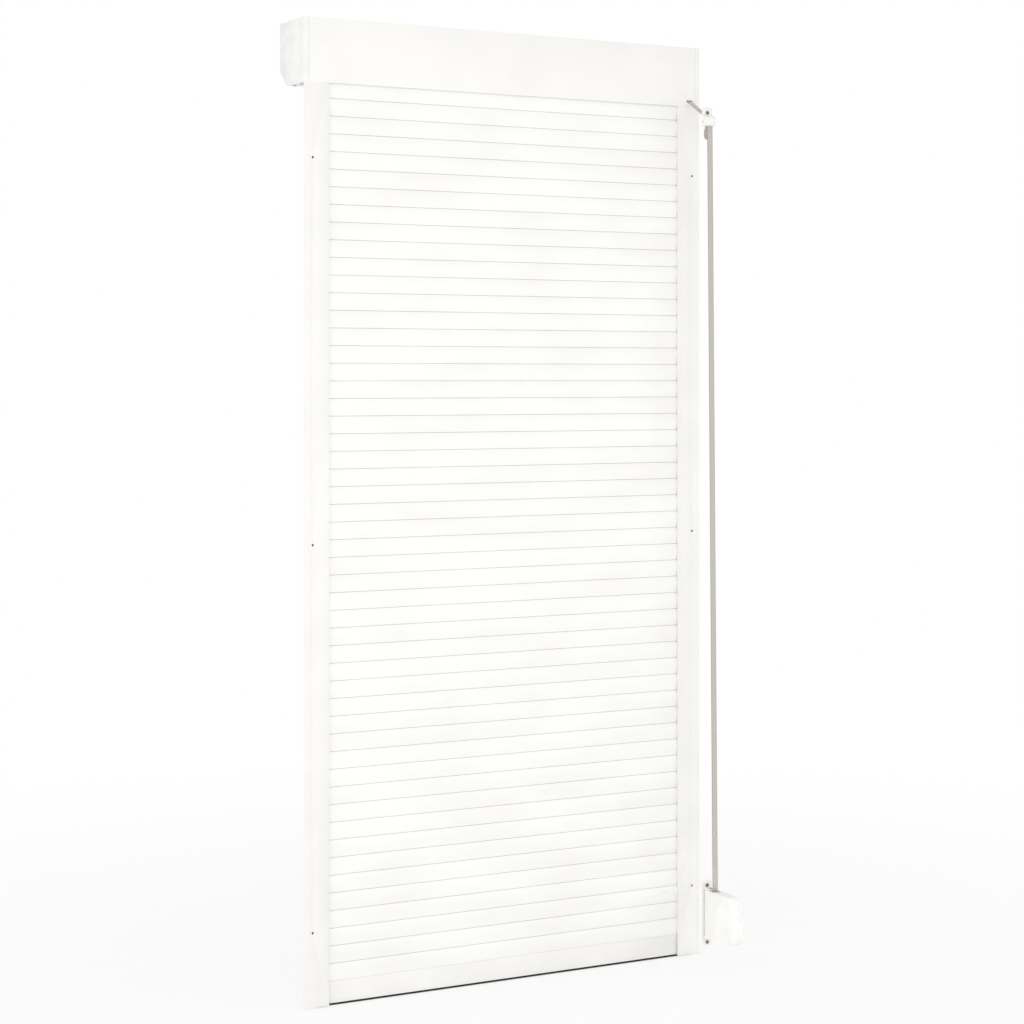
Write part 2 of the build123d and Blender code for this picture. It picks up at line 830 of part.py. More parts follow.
def strap_fitting_screws():
    """Slotted pan-head screws of the guide and of the winder's bracket."""
    screws = []
    for height, seat, length in fitting_screw_spots():
        head = rod_y(fitting_screw_head_radius, seat - fitting_screw_head, seat, strap_place, height)
        edge = head.faces().sort_by(Axis.Y)[0].edges()
        head = fillet(edge, fitting_screw_head / 2)
        slot = fitting_screw_slot / 2
        head -= block((strap_place - fitting_screw_head_radius, strap_place + fitting_screw_head_radius),
                      (seat - fitting_screw_head - overrun, seat - fitting_screw_head + fitting_screw_slot),
                      (height - slot, height + slot))
        neck = rod_y(fitting_screw_neck_radius, seat - overrun / 2, wall_face + overrun / 2,
                     strap_place, height)
        thread = rod_y(fitting_screw_thread_radius, wall_face, seat + length, strap_place, height)
        screws.append(head + neck + thread)
    return screws


def screw_hole(height, start, end):
    return rod_y(fitting_hole_radius, start, end, strap_place, height)


def lug_plate(half, low, high, corner, start, end):
    """A plate with rounded corners, flat on the wall."""
    outline = Pos(strap_place, (low + high) / 2) * RectangleRounded(half * 2, high - low, corner)
    return along_y(outline, start, end)


def strap_guide_plate():
    """The guide's base: a plate with a window for the strap and roller, and an oval lug below."""
    back = wall_face - guide_plate
    plate = lug_plate(guide_plate_half, guide_cover_low, guide_cover_high - guide_cover_wall,
                      guide_plate, back, wall_face)
    window = strap_width / 2 + guide_slot_side
    roof = guide_screw_height - fitting_screw_head_radius - overrun
    plate -= block((strap_place - window, strap_place + window), (back - overrun, wall_face + overrun),
                   (guide_cover_low + guide_plate, roof))
    lug_low = guide_screw_height - guide_lug_drop
    lug_half_height = (guide_cover_low - guide_plate - lug_low) / 2
    oval = Pos(strap_place, lug_low + lug_half_height) * Ellipse(guide_lug_half, lug_half_height)
    lug = along_y(oval, back, wall_face)
    neck = block((strap_place - guide_lug_neck, strap_place + guide_lug_neck), (back, wall_face),
                 (lug_low + lug_half_height, guide_cover_low + guide_plate))
    return plate + lug + neck - screw_hole(guide_screw_height, back - overrun, wall_face + overrun)


def guide_hood(inset):
    """The hood's outline in (y, z), drawn in by a wall."""
    back = wall_face - guide_plate
    front = back - guide_cover_depth + inset
    tab = back - guide_cover_tab
    low = guide_cover_low + inset
    shoulder = guide_screw_height - guide_shoulder_drop
    points = [(back, low), (front, low), (front, shoulder - inset / 2)]
    if inset:
        return points + [(back, shoulder + guide_cover_depth / 2 - inset / 2)]
    neck = guide_screw_height - guide_neck_drop
    return points + [(tab, neck), (tab, guide_cover_high), (back, guide_cover_high)]


def strap_guide_cover():
    """The white hood over the guide's roller, with a slot below and the upper screw's tab."""
    cover = along_x(outline_of(guide_hood(0)), strap_place - guide_cover_half, strap_place + guide_cover_half)
    front_edges = cover.edges().filter_by(Axis.X).sort_by(Axis.Y)[:2]
    cover = fillet(front_edges, guide_cover_wall)
    inner = guide_cover_half - guide_cover_wall
    hollow = along_x(outline_of(guide_hood(guide_cover_wall)), strap_place - inner, strap_place + inner)
    cover -= hollow
    window = strap_width / 2 + guide_slot_side
    front = guide_roller_place - roller_bend
    cover -= block((strap_place - window, strap_place + window),
                   (front - guide_slot_gap, front + guide_slot_gap),
                   (guide_cover_low - overrun, guide_cover_low + guide_cover_wall + overrun))
    cover -= rod_x(guide_pin_radius + running_gap / 2, strap_place - guide_cover_half - overrun,
                   strap_place + guide_cover_half + overrun, *guide_centre)
    cover -= screw_hole(guide_screw_height, wall_face - guide_plate - guide_cover_depth, wall_face)
    return cover


def strap_guide_roller():
    """The small roller that turns the strap down."""
    half = strap_width / 2 + overrun
    return ring_x(guide_roller_radius, guide_pin_radius + running_gap, strap_place - half, strap_place + half,
                  *guide_centre)


def strap_guide_pin():
    """The guide roller's pin, held in the hood's cheeks."""
    half = guide_cover_half - seat_gap
    return rod_x(guide_pin_radius, strap_place - half, strap_place + half, *guide_centre)


# Winder


def winder_bracket():
    """The plate on the wall, with an ear above and one below the cassette."""
    face = wall_face - bracket_plate
    bracket = lug_plate(cassette_half, bracket_low, bracket_high, bracket_corner, face, wall_face)
    for low in (cassette_high + free_gap, cassette_low - free_gap - bracket_ear):
        ear = block((strap_place - bracket_ear_radius, strap_place + bracket_ear_radius),
                    (pivot_place, face + overrun), (low, low + bracket_ear))
        ear += rod_z(bracket_ear_radius, low, low + bracket_ear, strap_place, pivot_place)
        bracket += ear
        bracket -= rod_z(pivot_pin_radius, low - overrun, low + bracket_ear + overrun,
                         strap_place, pivot_place)
    for height in (bracket_screw_low, bracket_screw_low + bracket_screw_spacing):
        bracket -= screw_hole(height, face - overrun, wall_face + overrun)
    return bracket


def winder_pivot_pins():
    """Headed pins through the ears into the cassette."""
    top = cassette_high + free_gap
    low = cassette_low - free_gap
    shank = pivot_pin_radius - running_gap
    head = bracket_ear / 2
    upper = rod_z(shank, cassette_high - pivot_pin_depth, top + bracket_ear, strap_place, pivot_place)
    upper += rod_z(pivot_pin_radius * 1.5, top + bracket_ear, top + bracket_ear + head,
                   strap_place, pivot_place)
    lower = rod_z(shank, low - bracket_ear, cassette_low + pivot_pin_depth, strap_place, pivot_place)
    lower += rod_z(pivot_pin_radius * 1.5, low - bracket_ear - head, low - bracket_ear,
                   strap_place, pivot_place)
    return [upper, lower]


def cassette_body(inset, rounded):
    """The cassette's form: rounded front corners in side view, a round back in plan."""
    low, high = cassette_low + inset, cassette_high - inset
    front = cassette_front + inset
    back = pivot_place + cassette_half - inset
    half = cassette_half - inset
    side = Pos((front + back) / 2, (low + high) / 2) * Rectangle(back - front, high - low)
    upper = min(side.vertices(), key=lambda v: v.X - v.Y)
    side = fillet([upper], cassette_corner - inset)
    lower = min(side.vertices(), key=lambda v: v.X + v.Y)
    side = fillet([lower], cassette_low_corner - inset)
    body = along_x(side, strap_place - half, strap_place + half)
    if rounded:
        rims = body.faces().sort_by(Axis.X)
        edges = rims[0].edges() + rims[-1].edges()
        edges = [e for e in edges if e.center().Y < pivot_place]
        body = fillet(edges, cassette_edge)
    plan = Pos(strap_place, (front + pivot_place) / 2) * Rectangle(half * 2, pivot_place - front)
    plan += Pos(strap_place, pivot_place) * Circle(half)
    return body & along_z(plan, low, high)


def shell_screw_spots():
    """The screws' places in (y, z): two near the pivot and two in the front corners."""
    back = pivot_place - shell_boss_radius * 2
    slant_share = shell_corner_screw_share * math.sqrt(0.5)
    upper, lower = [radius - (radius - cassette_wall - shell_boss_radius) * slant_share
                    for radius in (cassette_corner, cassette_low_corner)]
    return [(back, cassette_low + shell_screw_inset), (back, cassette_high - shell_screw_inset),
            (cassette_front + lower, cassette_low + lower), (cassette_front + upper, cassette_high - upper)]


def winder_shells():
    """The two halves of the cassette, with bosses for axle, pivots and screws."""
    body = cassette_body(0, True) - cassette_body(cassette_wall, False)
    inner = cassette_half - cassette_wall
    left, right = strap_place - cassette_half, strap_place + cassette_half
    for start, end in ((left + cassette_wall / 2, left + cassette_wall + axle_boss),
                       (right - cassette_wall - axle_boss, right - cassette_wall / 2)):
        body += rod_x(axle_boss_radius, start, end, *reel_centre)
    body -= rod_x(axle_radius + running_gap, left + cassette_wall - axle_seat,
                  right - cassette_wall + axle_seat, *reel_centre)
    for low, high in ((cassette_low + cassette_wall / 2, cassette_low + pivot_pin_depth + cassette_wall),
                      (cassette_high - pivot_pin_depth - cassette_wall, cassette_high - cassette_wall / 2)):
        body += rod_z(pivot_boss_radius, low, high, strap_place, pivot_place)
    for low, high in ((cassette_low - overrun, cassette_low + pivot_pin_depth + free_gap),
                      (cassette_high - pivot_pin_depth - free_gap, cassette_high + overrun)):
        body -= rod_z(pivot_pin_radius, low, high, strap_place, pivot_place)
    for y, z in shell_screw_spots():
        body += rod_x(shell_boss_radius, left + cassette_wall / 2, right - cassette_wall / 2, y, z)
    for y, z in shell_screw_spots():
        body -= rod_x(shell_screw_radius + running_gap, left + cassette_wall, right + overrun, y, z)
        body -= rod_x(shell_screw_head_radius + seat_gap, right - shell_screw_head - seat_gap,
                      right + overrun, y, z)
    entry = strap_entry[0]
    body -= block((strap_place - inlet_slot_half, strap_place + inlet_slot_half),
                  (entry - inlet_slot_room, entry + inlet_slot_room),
                  (cassette_high - cassette_wall - overrun, cassette_high + overrun))
    for start, end in ((left, left + cassette_wall), (right - cassette_wall, right)):
        body -= rod_x(clamp_pin_radius + running_gap, start + cassette_wall / 2 * (start == left),
                      end - cassette_wall / 2 * (end == right), *clamp_centre())
    seam = cassette_seam / 2
    y_span = (cassette_front - overrun, 0)
    z_span = (cassette_low - overrun, cassette_high + overrun)
    parting = strap_place + cassette_seam_shift
    halves = [body & block((left - overrun, parting - seam), y_span, z_span),
              body & block((parting + seam, right + overrun), y_span, z_span)]
    return halves


def winder_shell_screws():
    """Screws from the right that close the cassette."""
    left, right = strap_place - cassette_half, strap_place + cassette_half
    seat = right - shell_screw_head
    return [rod_x(shell_screw_radius, left + cassette_wall + seat_gap, seat, y, z)
            + rod_x(shell_screw_head_radius, seat, right, y, z)
            for y, z in shell_screw_spots()]


def winder_axle():
    """The fixed axle across the cassette."""
    half = cassette_half - cassette_wall + axle_seat - seat_gap
    return rod_x(axle_radius, strap_place - half, strap_place + half, *reel_centre)


def reel_half():
    return strap_width / 2 + reel_flange_gap + reel_flange


def strap_reel():
    """The reel: a drum with two flanges, hollow for the spring."""
    half = reel_half()
    start, end = strap_place - half, strap_place + half
    reel = ring_x(reel_drum_radius, reel_drum_radius - reel_drum_wall, start, end, *reel_centre)
    reel += ring_x(reel_flange_radius, axle_radius + running_gap, start, start + reel_flange, *reel_centre)
    reel += ring_x(reel_flange_radius, reel_drum_radius - reel_drum_wall,
                   end - reel_flange, end, *reel_centre)
    return reel


def reel_strap_winding():
    """The turns of strap that stay on the reel while the curtain is down."""
    half = strap_width / 2
    return ring_x(reel_strap_radius - half_strap - free_gap, reel_drum_radius + running_gap,
                  strap_place - half, strap_place + half, *reel_centre)


def rewind_spring():
    """The flat spiral spring in the drum, as half turns about two centres in turn."""
    turns = []
    first = axle_radius + free_gap + spring_wall / 2
    last = reel_drum_radius - reel_drum_wall - free_gap - spring_wall / 2
    step = (last - first) / spring_half_turns
    for k in range(spring_half_turns):
        radius = first + k * step
        shift = 0 if k % 2 == 0 else step
        start = 0 if k % 2 == 0 else 180
        turns.append(Pos(shift, 0) * CenterArc((0, 0), radius, start, 180))
    outline = trace(Curve() + turns, line_width=spring_wall)
    start = strap_place - reel_half() + reel_flange + free_gap
    return along_x(Pos(*reel_centre) * outline, start, start + spring_width)


def clamp_centre():
    return (strap_entry[0] - clamp_reach, cassette_high - clamp_drop)


def strap_clamp():
    """The cam under the inlet that holds the strap, with its nose just off it."""
    y, z = clamp_centre()
    start, end = strap_place - clamp_half_width, strap_place + clamp_half_width
    nose = outline_of([(y, z - clamp_nose_height / 2), (y + clamp_nose, z - clamp_nose_height / 2),
                       (y + clamp_nose, z + clamp_nose_height / 4), (y, z + clamp_radius)])
    cam = along_x(nose, start, end) + rod_x(clamp_radius, start, end, y, z)
    return cam - rod_x(clamp_pin_radius + running_gap, start - overrun, end + overrun, y, z)


def clamp_pin():
    """The clamp's pin between the two shells."""
    half = cassette_half - cassette_wall / 2 - seat_gap
    return rod_x(clamp_pin_radius, strap_place - half, strap_place + half, *clamp_centre())


def all_pieces():
    """Every node's name with its solids."""
    cap_right = end_cap()
    rail_right = guide_rail()
    bearing_right = tube_bearing()
    shell_left, shell_right = winder_shells()
    pieces = {
        "casing_shell": casing_shell(),
        "inspection_cover": inspection_cover(),
        "end_cap_left": mirror(cap_right, about=Plane.YZ),
        "end_cap_right": cap_right,
        "cover_screws": cover_screws(),
        "rail_inlets": both_sides(rail_inlet()),
        "box_lip_seal": box_lip_seal(),
        "guide_rail_left": mirror(rail_right, about=Plane.YZ),
        "guide_rail_right": rail_right,
        "rail_lip_seals": rail_lip_seals(),
        "rail_foot_caps": rail_foot_caps(),
        "rail_hole_plugs": rail_hole_plugs(),
        "roller_tube": roller_tube(),
        "tube_end_plug": tube_end_plug(),
        "strap_pulley": strap_pulley(),
        "pulley_strap_winding": pulley_strap_winding(),
        "tube_bearing_left": [mirror(s, about=Plane.YZ) for s in bearing_right],
        "tube_bearing_right": bearing_right,
        "tube_screws": tube_screws(),
        "curtain_hangers": curtain_hangers(),
        "bottom_bar": bottom_bar(),
        "bottom_seal": bottom_seal(),
        "bottom_bar_end_caps": bottom_bar_end_caps(),
        "lift_stops": lift_stops(),
        "strap": strap(),
        "strap_outlet": strap_outlet(),
        "strap_guide_plate": strap_guide_plate(),
        "strap_guide_cover": strap_guide_cover(),
        "strap_guide_roller": strap_guide_roller(),
        "strap_guide_pin": strap_guide_pin(),
        "strap_fitting_screws": strap_fitting_screws(),
        "winder_bracket": winder_bracket(),
        "winder_pivot_pins": winder_pivot_pins(),
        "winder_shell_left": shell_left,
        "winder_shell_right": shell_right,
        "winder_shell_screws": winder_shell_screws(),
        "winder_axle": winder_axle(),
        "strap_reel": strap_reel(),
        "reel_strap_winding": reel_strap_winding(),
        "rewind_spring": rewind_spring(),
        "strap_clamp": strap_clamp(),
        "clamp_pin": clamp_pin(),
    }
    for row in range(row_count):
        pieces[f"slats_{row + 1:02d}"] = slat_row(row)
    return pieces


def write_pieces():
    os.makedirs("parts", exist_ok=True)
    for name, shapes in all_pieces().items():
        shapes = shapes if isinstance(shapes, list) else [shapes]
        solids = [solid for shape in shapes for solid in shape.solids()]
        whole = solids[0] if len(solids) == 1 else Compound(children=solids)
        export_step(Pos(0, 0, -datum_height) * whole, f"parts/{name}.step")


write_pieces()
length = FilletPolyline(*strap_route, radius=[lip_bend, roller_bend]).length
print("free run of the strap", round(length), "mm; enters the cassette at y", round(strap_entry[0], 1))
print("curtain travel", box_bottom - bar_height - stop_gap, "mm, rows", row_count)
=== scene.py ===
"""Looks of an exterior roller shutter: white coated aluminium, a woven strap and moulded fittings."""

import json
import logging
import math
from dataclasses import dataclass, field
from enum import Enum
from typing import Callable, Iterable

import bmesh
import bpy
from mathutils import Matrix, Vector


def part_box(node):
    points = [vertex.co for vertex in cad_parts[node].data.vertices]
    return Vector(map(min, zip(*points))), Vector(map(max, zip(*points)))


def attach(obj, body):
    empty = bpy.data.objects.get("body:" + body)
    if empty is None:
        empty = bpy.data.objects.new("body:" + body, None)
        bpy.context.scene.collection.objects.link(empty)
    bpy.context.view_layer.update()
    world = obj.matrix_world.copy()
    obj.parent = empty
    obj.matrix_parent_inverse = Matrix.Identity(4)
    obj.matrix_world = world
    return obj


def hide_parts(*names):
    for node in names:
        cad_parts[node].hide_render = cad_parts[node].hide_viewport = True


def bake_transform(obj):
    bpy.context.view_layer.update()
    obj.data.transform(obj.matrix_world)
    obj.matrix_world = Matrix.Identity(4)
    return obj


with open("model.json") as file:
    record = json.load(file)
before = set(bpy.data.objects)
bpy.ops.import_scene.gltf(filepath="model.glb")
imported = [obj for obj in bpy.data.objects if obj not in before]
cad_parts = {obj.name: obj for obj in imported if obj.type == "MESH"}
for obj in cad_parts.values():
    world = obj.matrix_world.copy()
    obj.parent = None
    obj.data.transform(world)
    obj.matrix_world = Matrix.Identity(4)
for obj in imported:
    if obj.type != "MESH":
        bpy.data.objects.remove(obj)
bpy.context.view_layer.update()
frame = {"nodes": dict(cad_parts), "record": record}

log = logging.getLogger("roller_shutter")

MM = 0.001
# The frame's origin stands this far above the rails' feet, in millimetres.
DATUM_HEIGHT = 981.5

Element = bmesh.types.BMVert | bmesh.types.BMEdge | bmesh.types.BMFace
# A centre (y, z) and a radius, in millimetres.
Circle = tuple[float, float, float]


class Side(Enum):
    """The two ends of the shutter, as the sign of x."""

    LEFT = -1
    RIGHT = 1


class Smoothing(Enum):
    """How far faces may turn and still be shaded as one surface, in degrees."""

    CRISP = 30.0
    SOFT = 50.0


class Pick(Enum):
    """What is picked in edit mode: its select mode, and the name of its list in a mesh."""

    FACE = "faces"
    EDGE = "edges"
    VERT = "verts"


class Detail(Enum):
    """How many finer layers a random pattern has."""

    PLAIN = 2.0
    RICH = 3.0
    CROWDED = 4.0


def height(mm: float) -> float:
    """A height above the rails' feet, in millimetres, as a z in the frame, in metres."""
    return (mm - DATUM_HEIGHT) * MM


def to_linear(hex_code: str, alpha: float = 1.0) -> tuple[float, float, float, float]:
    """Turns an sRGB hex colour to the linear values that a shader takes.

    Args:
        hex_code: Six hex digits, red first.
        alpha: The fourth value.

    Returns:
        Red, green, blue and alpha.
    """
    channels = [int(hex_code[i:i + 2], 16) / 255 for i in (0, 2, 4)]
    linear = [c / 12.92 if c <= 0.04045 else ((c + 0.055) / 1.055) ** 2.4 for c in channels]
    return (linear[0], linear[1], linear[2], alpha)


# Selection and mesh helpers


def deselect_all() -> None:
    """Leaves no object selected, so that an operator acts on new pieces alone."""
    if bpy.context.object and bpy.context.object.mode != "OBJECT":
        bpy.ops.object.mode_set(mode="OBJECT")
    bpy.ops.object.select_all(action="DESELECT")


def make_active(piece: bpy.types.Object) -> None:
    """Selects one piece and makes it the active one."""
    deselect_all()
    piece.select_set(True)
    bpy.context.view_layer.objects.active = piece


def pick(piece: bpy.types.Object, kind: Pick, wanted: Callable[[Element], bool]) -> None:
    """Selects the faces, edges or points of a piece in edit mode that a test accepts.

    Args:
        piece: The piece, in edit mode.
        kind: Which of the three are picked.
        wanted: The test of one of them.
    """
    bpy.ops.mesh.select_mode(type=kind.name)
    bpy.ops.mesh.select_all(action="DESELECT")
    shape = bmesh.from_edit_mesh(piece.data)
    for element in getattr(shape, kind.value):
        if wanted(element):
            element.select = True
    if kind is Pick.FACE:
        shape.select_flush_mode()
    bmesh.update_edit_mesh(piece.data)


def runs_along(edge: bmesh.types.BMEdge, length: float) -> bool:
    """Whether an edge runs along x over more than half of a length in metres."""
    return abs(edge.verts[0].co.x - edge.verts[1].co.x) > length / 2


def add_block(name: str, size: Vector, centre: Vector) -> bpy.types.Object:
    """Adds a block at its size and place, with its place in its mesh.

    Args:
        name: The piece's name.
        size: Its three sizes, in metres.
        centre: Its middle, in the frame.

    Returns:
        The new piece, active and selected.
    """
    deselect_all()
    bpy.ops.mesh.primitive_cube_add(size=1, location=centre)
    piece = bpy.context.object
    piece.name = piece.data.name = name
    piece.scale = size
    bpy.ops.object.transform_apply(location=True, rotation=True, scale=True)
    return piece


def apply_modifier(piece: bpy.types.Object, kind: str, **settings: float | int | bool | str) -> None:
    """Adds a modifier to a piece and applies it.

    Args:
        piece: The piece.
        kind: The modifier's type.
        settings: The modifier's own settings.
    """
    make_active(piece)
    modifier = piece.modifiers.new(kind.lower(), kind)
    for key, value in settings.items():
        setattr(modifier, key, value)
    bpy.ops.object.modifier_apply(modifier=modifier.name)


def smooth(piece: bpy.types.Object, smoothing: Smoothing = Smoothing.CRISP) -> None:
    """Shades a piece smooth, apart from its sharp edges."""
    make_active(piece)
    bpy.ops.object.shade_smooth_by_angle(angle=math.radians(smoothing.value), keep_sharp_edges=False)


def copy_of(piece: bpy.types.Object, name: str, shift: Vector) -> bpy.types.Object:
    """Copies a finished piece with its own mesh, moved by a shift.

    Args:
        piece: The piece to copy.
        name: The copy's name.
        shift: How far the copy's mesh is moved, in metres.

    Returns:
        The copy.
    """
    copy = piece.copy()
    copy.data = piece.data.copy()
    copy.name = copy.data.name = name
    bpy.context.scene.collection.objects.link(copy)
    for point in copy.data.vertices:
        point.co += shift
    return copy


def join(pieces: list[bpy.types.Object], name: str) -> bpy.types.Object:
    """Joins pieces into one mesh under a name."""
    deselect_all()
    for piece in pieces:
        piece.select_set(True)
    bpy.context.view_layer.objects.active = pieces[0]
    bpy.ops.object.join()
    pieces[0].name = pieces[0].data.name = name
    return pieces[0]


# Finishes


def add_node(tree: bpy.types.NodeTree, kind: str, settings: dict | None = None,
             **inputs: object) -> bpy.types.Node:
    """Adds a node, sets it and links it.

    Args:
        tree: The material's or world's node tree.
        kind: The node's type.
        settings: The node's own settings, by name.
        inputs: Values or sockets for its inputs, by the input's name with spaces as underscores,
            or by input_ and its number where two inputs share a name.

    Returns:
        The new node.
    """
    node = tree.nodes.new(kind)
    for key, value in (settings or {}).items():
        setattr(node, key, value)
    for key, value in inputs.items():
        if key.startswith("input_"):
            target = node.inputs[int(key[len("input_"):])]
        else:
            target = node.inputs[key.replace("_", " ")]
        if isinstance(value, bpy.types.NodeSocket):
            tree.links.new(value, target)
        else:
            target.default_value = value
    return node


@dataclass(frozen=True)
class Finish:
    """A surface: its colour, its gloss and the texture that its making leaves."""

    name: str
    colour: str
    roughness: float
    metallic: float = 0.0
    ior: float = 1.5

    def build(self) -> bpy.types.Material:
        """Makes the material.

        Returns:
            The material, with its texture.
        """
        material = bpy.data.materials.new(self.name)
        material.use_nodes = True
        tree = material.node_tree
        tree.nodes.clear()
        shader = add_node(tree, "ShaderNodeBsdfPrincipled", Base_Color=to_linear(self.colour),
                          Roughness=self.roughness, Metallic=self.metallic)
        if not self.metallic:
            shader.inputs["IOR"].default_value = self.ior
        add_node(tree, "ShaderNodeOutputMaterial", Surface=shader.outputs["BSDF"])
        self.texture(tree, shader)
        material.diffuse_color = to_linear(self.colour)
        return material

    def texture(self, tree: bpy.types.NodeTree, shader: bpy.types.Node) -> None:
        """Adds what the making leaves on the surface. A plain finish has none."""

    def place(self, tree: bpy.types.NodeTree) -> bpy.types.NodeSocket:
        """The surface's place in metres, the same in every view."""
        return add_node(tree, "ShaderNodeTexCoord").outputs["Object"]

    def noise(self, tree: bpy.types.NodeTree, size_mm: float, detail: Detail = Detail.PLAIN,
              stretch: tuple[float, float, float] = (1, 1, 1)) -> bpy.types.NodeSocket:
        """A soft random pattern.

        Args:
            tree: The node tree.
            size_mm: The size of its patches, in millimetres.
            detail: How rich it is.
            stretch: How much finer it is along each axis.

        Returns:
            Its value, from 0 to 1.
        """
        mapping = add_node(tree, "ShaderNodeMapping", Vector=self.place(tree), Scale=stretch)
        pattern = add_node(tree, "ShaderNodeTexNoise", Vector=mapping.outputs["Vector"],
                           Scale=1 / (size_mm * MM), Detail=detail.value)
        return pattern.outputs["Fac"]

    def shades(self, tree: bpy.types.NodeTree, pattern: bpy.types.NodeSocket, low: str, high: str,
               ends: tuple[float, float] = (0.35, 0.65)) -> bpy.types.NodeSocket:
        """Turns a pattern to a colour.

        Args:
            tree: The node tree.
            pattern: The pattern's value.
            low: The hex colour of its low values.
            high: The hex colour of its high values.
            ends: Between which values the colour changes.

        Returns:
            The colour.
        """
        ramp = add_node(tree, "ShaderNodeValToRGB", Fac=pattern)
        for stop, end, colour in zip(ramp.color_ramp.elements, ends, (low, high)):
            stop.position = end
            stop.color = to_linear(colour)
        return ramp.outputs["Color"]

    def tint(self, tree: bpy.types.NodeTree, shader: bpy.types.Node, pattern: bpy.types.NodeSocket,
             low: str, high: str, ends: tuple[float, float] = (0.35, 0.65)) -> None:
        """Gives the surface the colour that a pattern turns to."""
        tree.links.new(self.shades(tree, pattern, low, high, ends), shader.inputs["Base Color"])

    def vary_gloss(self, tree: bpy.types.NodeTree, shader: bpy.types.Node, pattern: bpy.types.NodeSocket,
                   glossier: float, duller: float) -> None:
        """Lets the roughness follow a pattern, from a little less than its own value to a little more."""
        spread = add_node(tree, "ShaderNodeMapRange", Value=pattern, To_Min=self.roughness - glossier,
                          To_Max=self.roughness + duller)
        tree.links.new(spread.outputs["Result"], shader.inputs["Roughness"])

    def relief(self, tree: bpy.types.NodeTree, shader: bpy.types.Node, pattern: bpy.types.NodeSocket,
               depth_mm: float) -> None:
        """Gives the surface a relief of a real depth."""
        bump = add_node(tree, "ShaderNodeBump", Height=pattern, Distance=depth_mm * MM, Strength=1.0)
        tree.links.new(bump.outputs["Normal"], shader.inputs["Normal"])


@dataclass(frozen=True)
class PowderCoat(Finish):
    """Polyester powder baked on aluminium: an even satin skin with a fine orange peel."""

    shade: str = "F0EFEC"
    patch_mm: float = 160.0
    gloss_patch_mm: float = 40.0
    glossier: float = 0.04
    duller: float = 0.06
    peel_mm: float = 2.2
    peel_depth_mm: float = 0.02

    def texture(self, tree: bpy.types.NodeTree, shader: bpy.types.Node) -> None:
        """Orange peel, and broad thin patches where rain and dust have dulled the coat."""
        self.tint(tree, shader, self.noise(tree, self.patch_mm, Detail.RICH), self.shade, self.colour)
        self.vary_gloss(tree, shader, self.noise(tree, self.gloss_patch_mm), self.glossier, self.duller)
        self.relief(tree, shader, self.noise(tree, self.peel_mm, Detail.RICH), self.peel_depth_mm)


@dataclass(frozen=True)
class CoilCoat(Finish):
    """Lacquer rolled on aluminium strip before the slats are formed: smooth, with faint lines along them."""

    shade: str = "F2F1EE"
    veil_mm: float = 90.0
    veil_stretch: float = 0.4
    glossier: float = 0.03
    duller: float = 0.05
    line_mm: float = 1.6
    line_stretch: float = 0.02
    line_depth_mm: float = 0.006

    def texture(self, tree: bpy.types.NodeTree, shader: bpy.types.Node) -> None:
        """Rolling lines along the slat, and a thin uneven veil of dust."""
        veil = self.noise(tree, self.veil_mm, Detail.RICH, stretch=(self.veil_stretch, 1, 1))
        lines = self.noise(tree, self.line_mm, stretch=(self.line_stretch, 1, 1))
        self.tint(tree, shader, veil, self.shade, self.colour)
        self.vary_gloss(tree, shader, lines, self.glossier, self.duller)
        self.relief(tree, shader, lines, self.line_depth_mm)


@dataclass(frozen=True)
class MouldedPlastic(Finish):
    """Injection-moulded plastic: an even colour with the fine grain of an eroded mould."""

    shade: str = "EDECE9"
    flow_mm: float = 28.0
    handling_mm: float = 9.0
    glossier: float = 0.05
    duller: float = 0.08
    grain_mm: float = 0.5
    grain_depth_mm: float = 0.012

    def texture(self, tree: bpy.types.NodeTree, shader: bpy.types.Node) -> None:
        """Mould grain, faint flow patches and uneven gloss from handling."""
        self.tint(tree, shader, self.noise(tree, self.flow_mm), self.shade, self.colour)
        self.vary_gloss(tree, shader, self.noise(tree, self.handling_mm), self.glossier, self.duller)
        self.relief(tree, shader, self.noise(tree, self.grain_mm, Detail.RICH), self.grain_depth_mm)


@dataclass(frozen=True)
class SoftRubber(Finish):
    """Extruded rubber: matt and dark, with a bloom of dust and fine lines from the die."""

    shade: str = "2B2B2B"
    bloom_mm: float = 14.0
    bloom_ends: tuple[float, float] = (0.45, 0.8)
    line_mm: float = 0.7
    line_stretch: float = 0.05
    line_depth_mm: float = 0.05

    def texture(self, tree: bpy.types.NodeTree, shader: bpy.types.Node) -> None:
        """Die lines along the strip and a dusty bloom."""
        bloom = self.noise(tree, self.bloom_mm, Detail.CROWDED)
        self.tint(tree, shader, bloom, self.colour, self.shade, self.bloom_ends)
        lines = self.noise(tree, self.line_mm, stretch=(self.line_stretch, 1, 1))
        self.relief(tree, shader, lines, self.line_depth_mm)


@dataclass(frozen=True)
class BrushPile(Finish):
    """Cut polypropylene pile: short upright hairs."""

    shade: str = "3A3A3A"
    hair_mm: float = 0.6
    hair_stretch: float = 0.12
    hair_depth_mm: float = 0.3

    def texture(self, tree: bpy.types.NodeTree, shader: bpy.types.Node) -> None:
        """Hairs that stand up from the strip's base."""
        hairs = self.noise(tree, self.hair_mm, Detail.RICH, stretch=(1, 1, self.hair_stretch))
        self.tint(tree, shader, hairs, self.shade, self.colour)
        self.relief(tree, shader, hairs, self.hair_depth_mm)


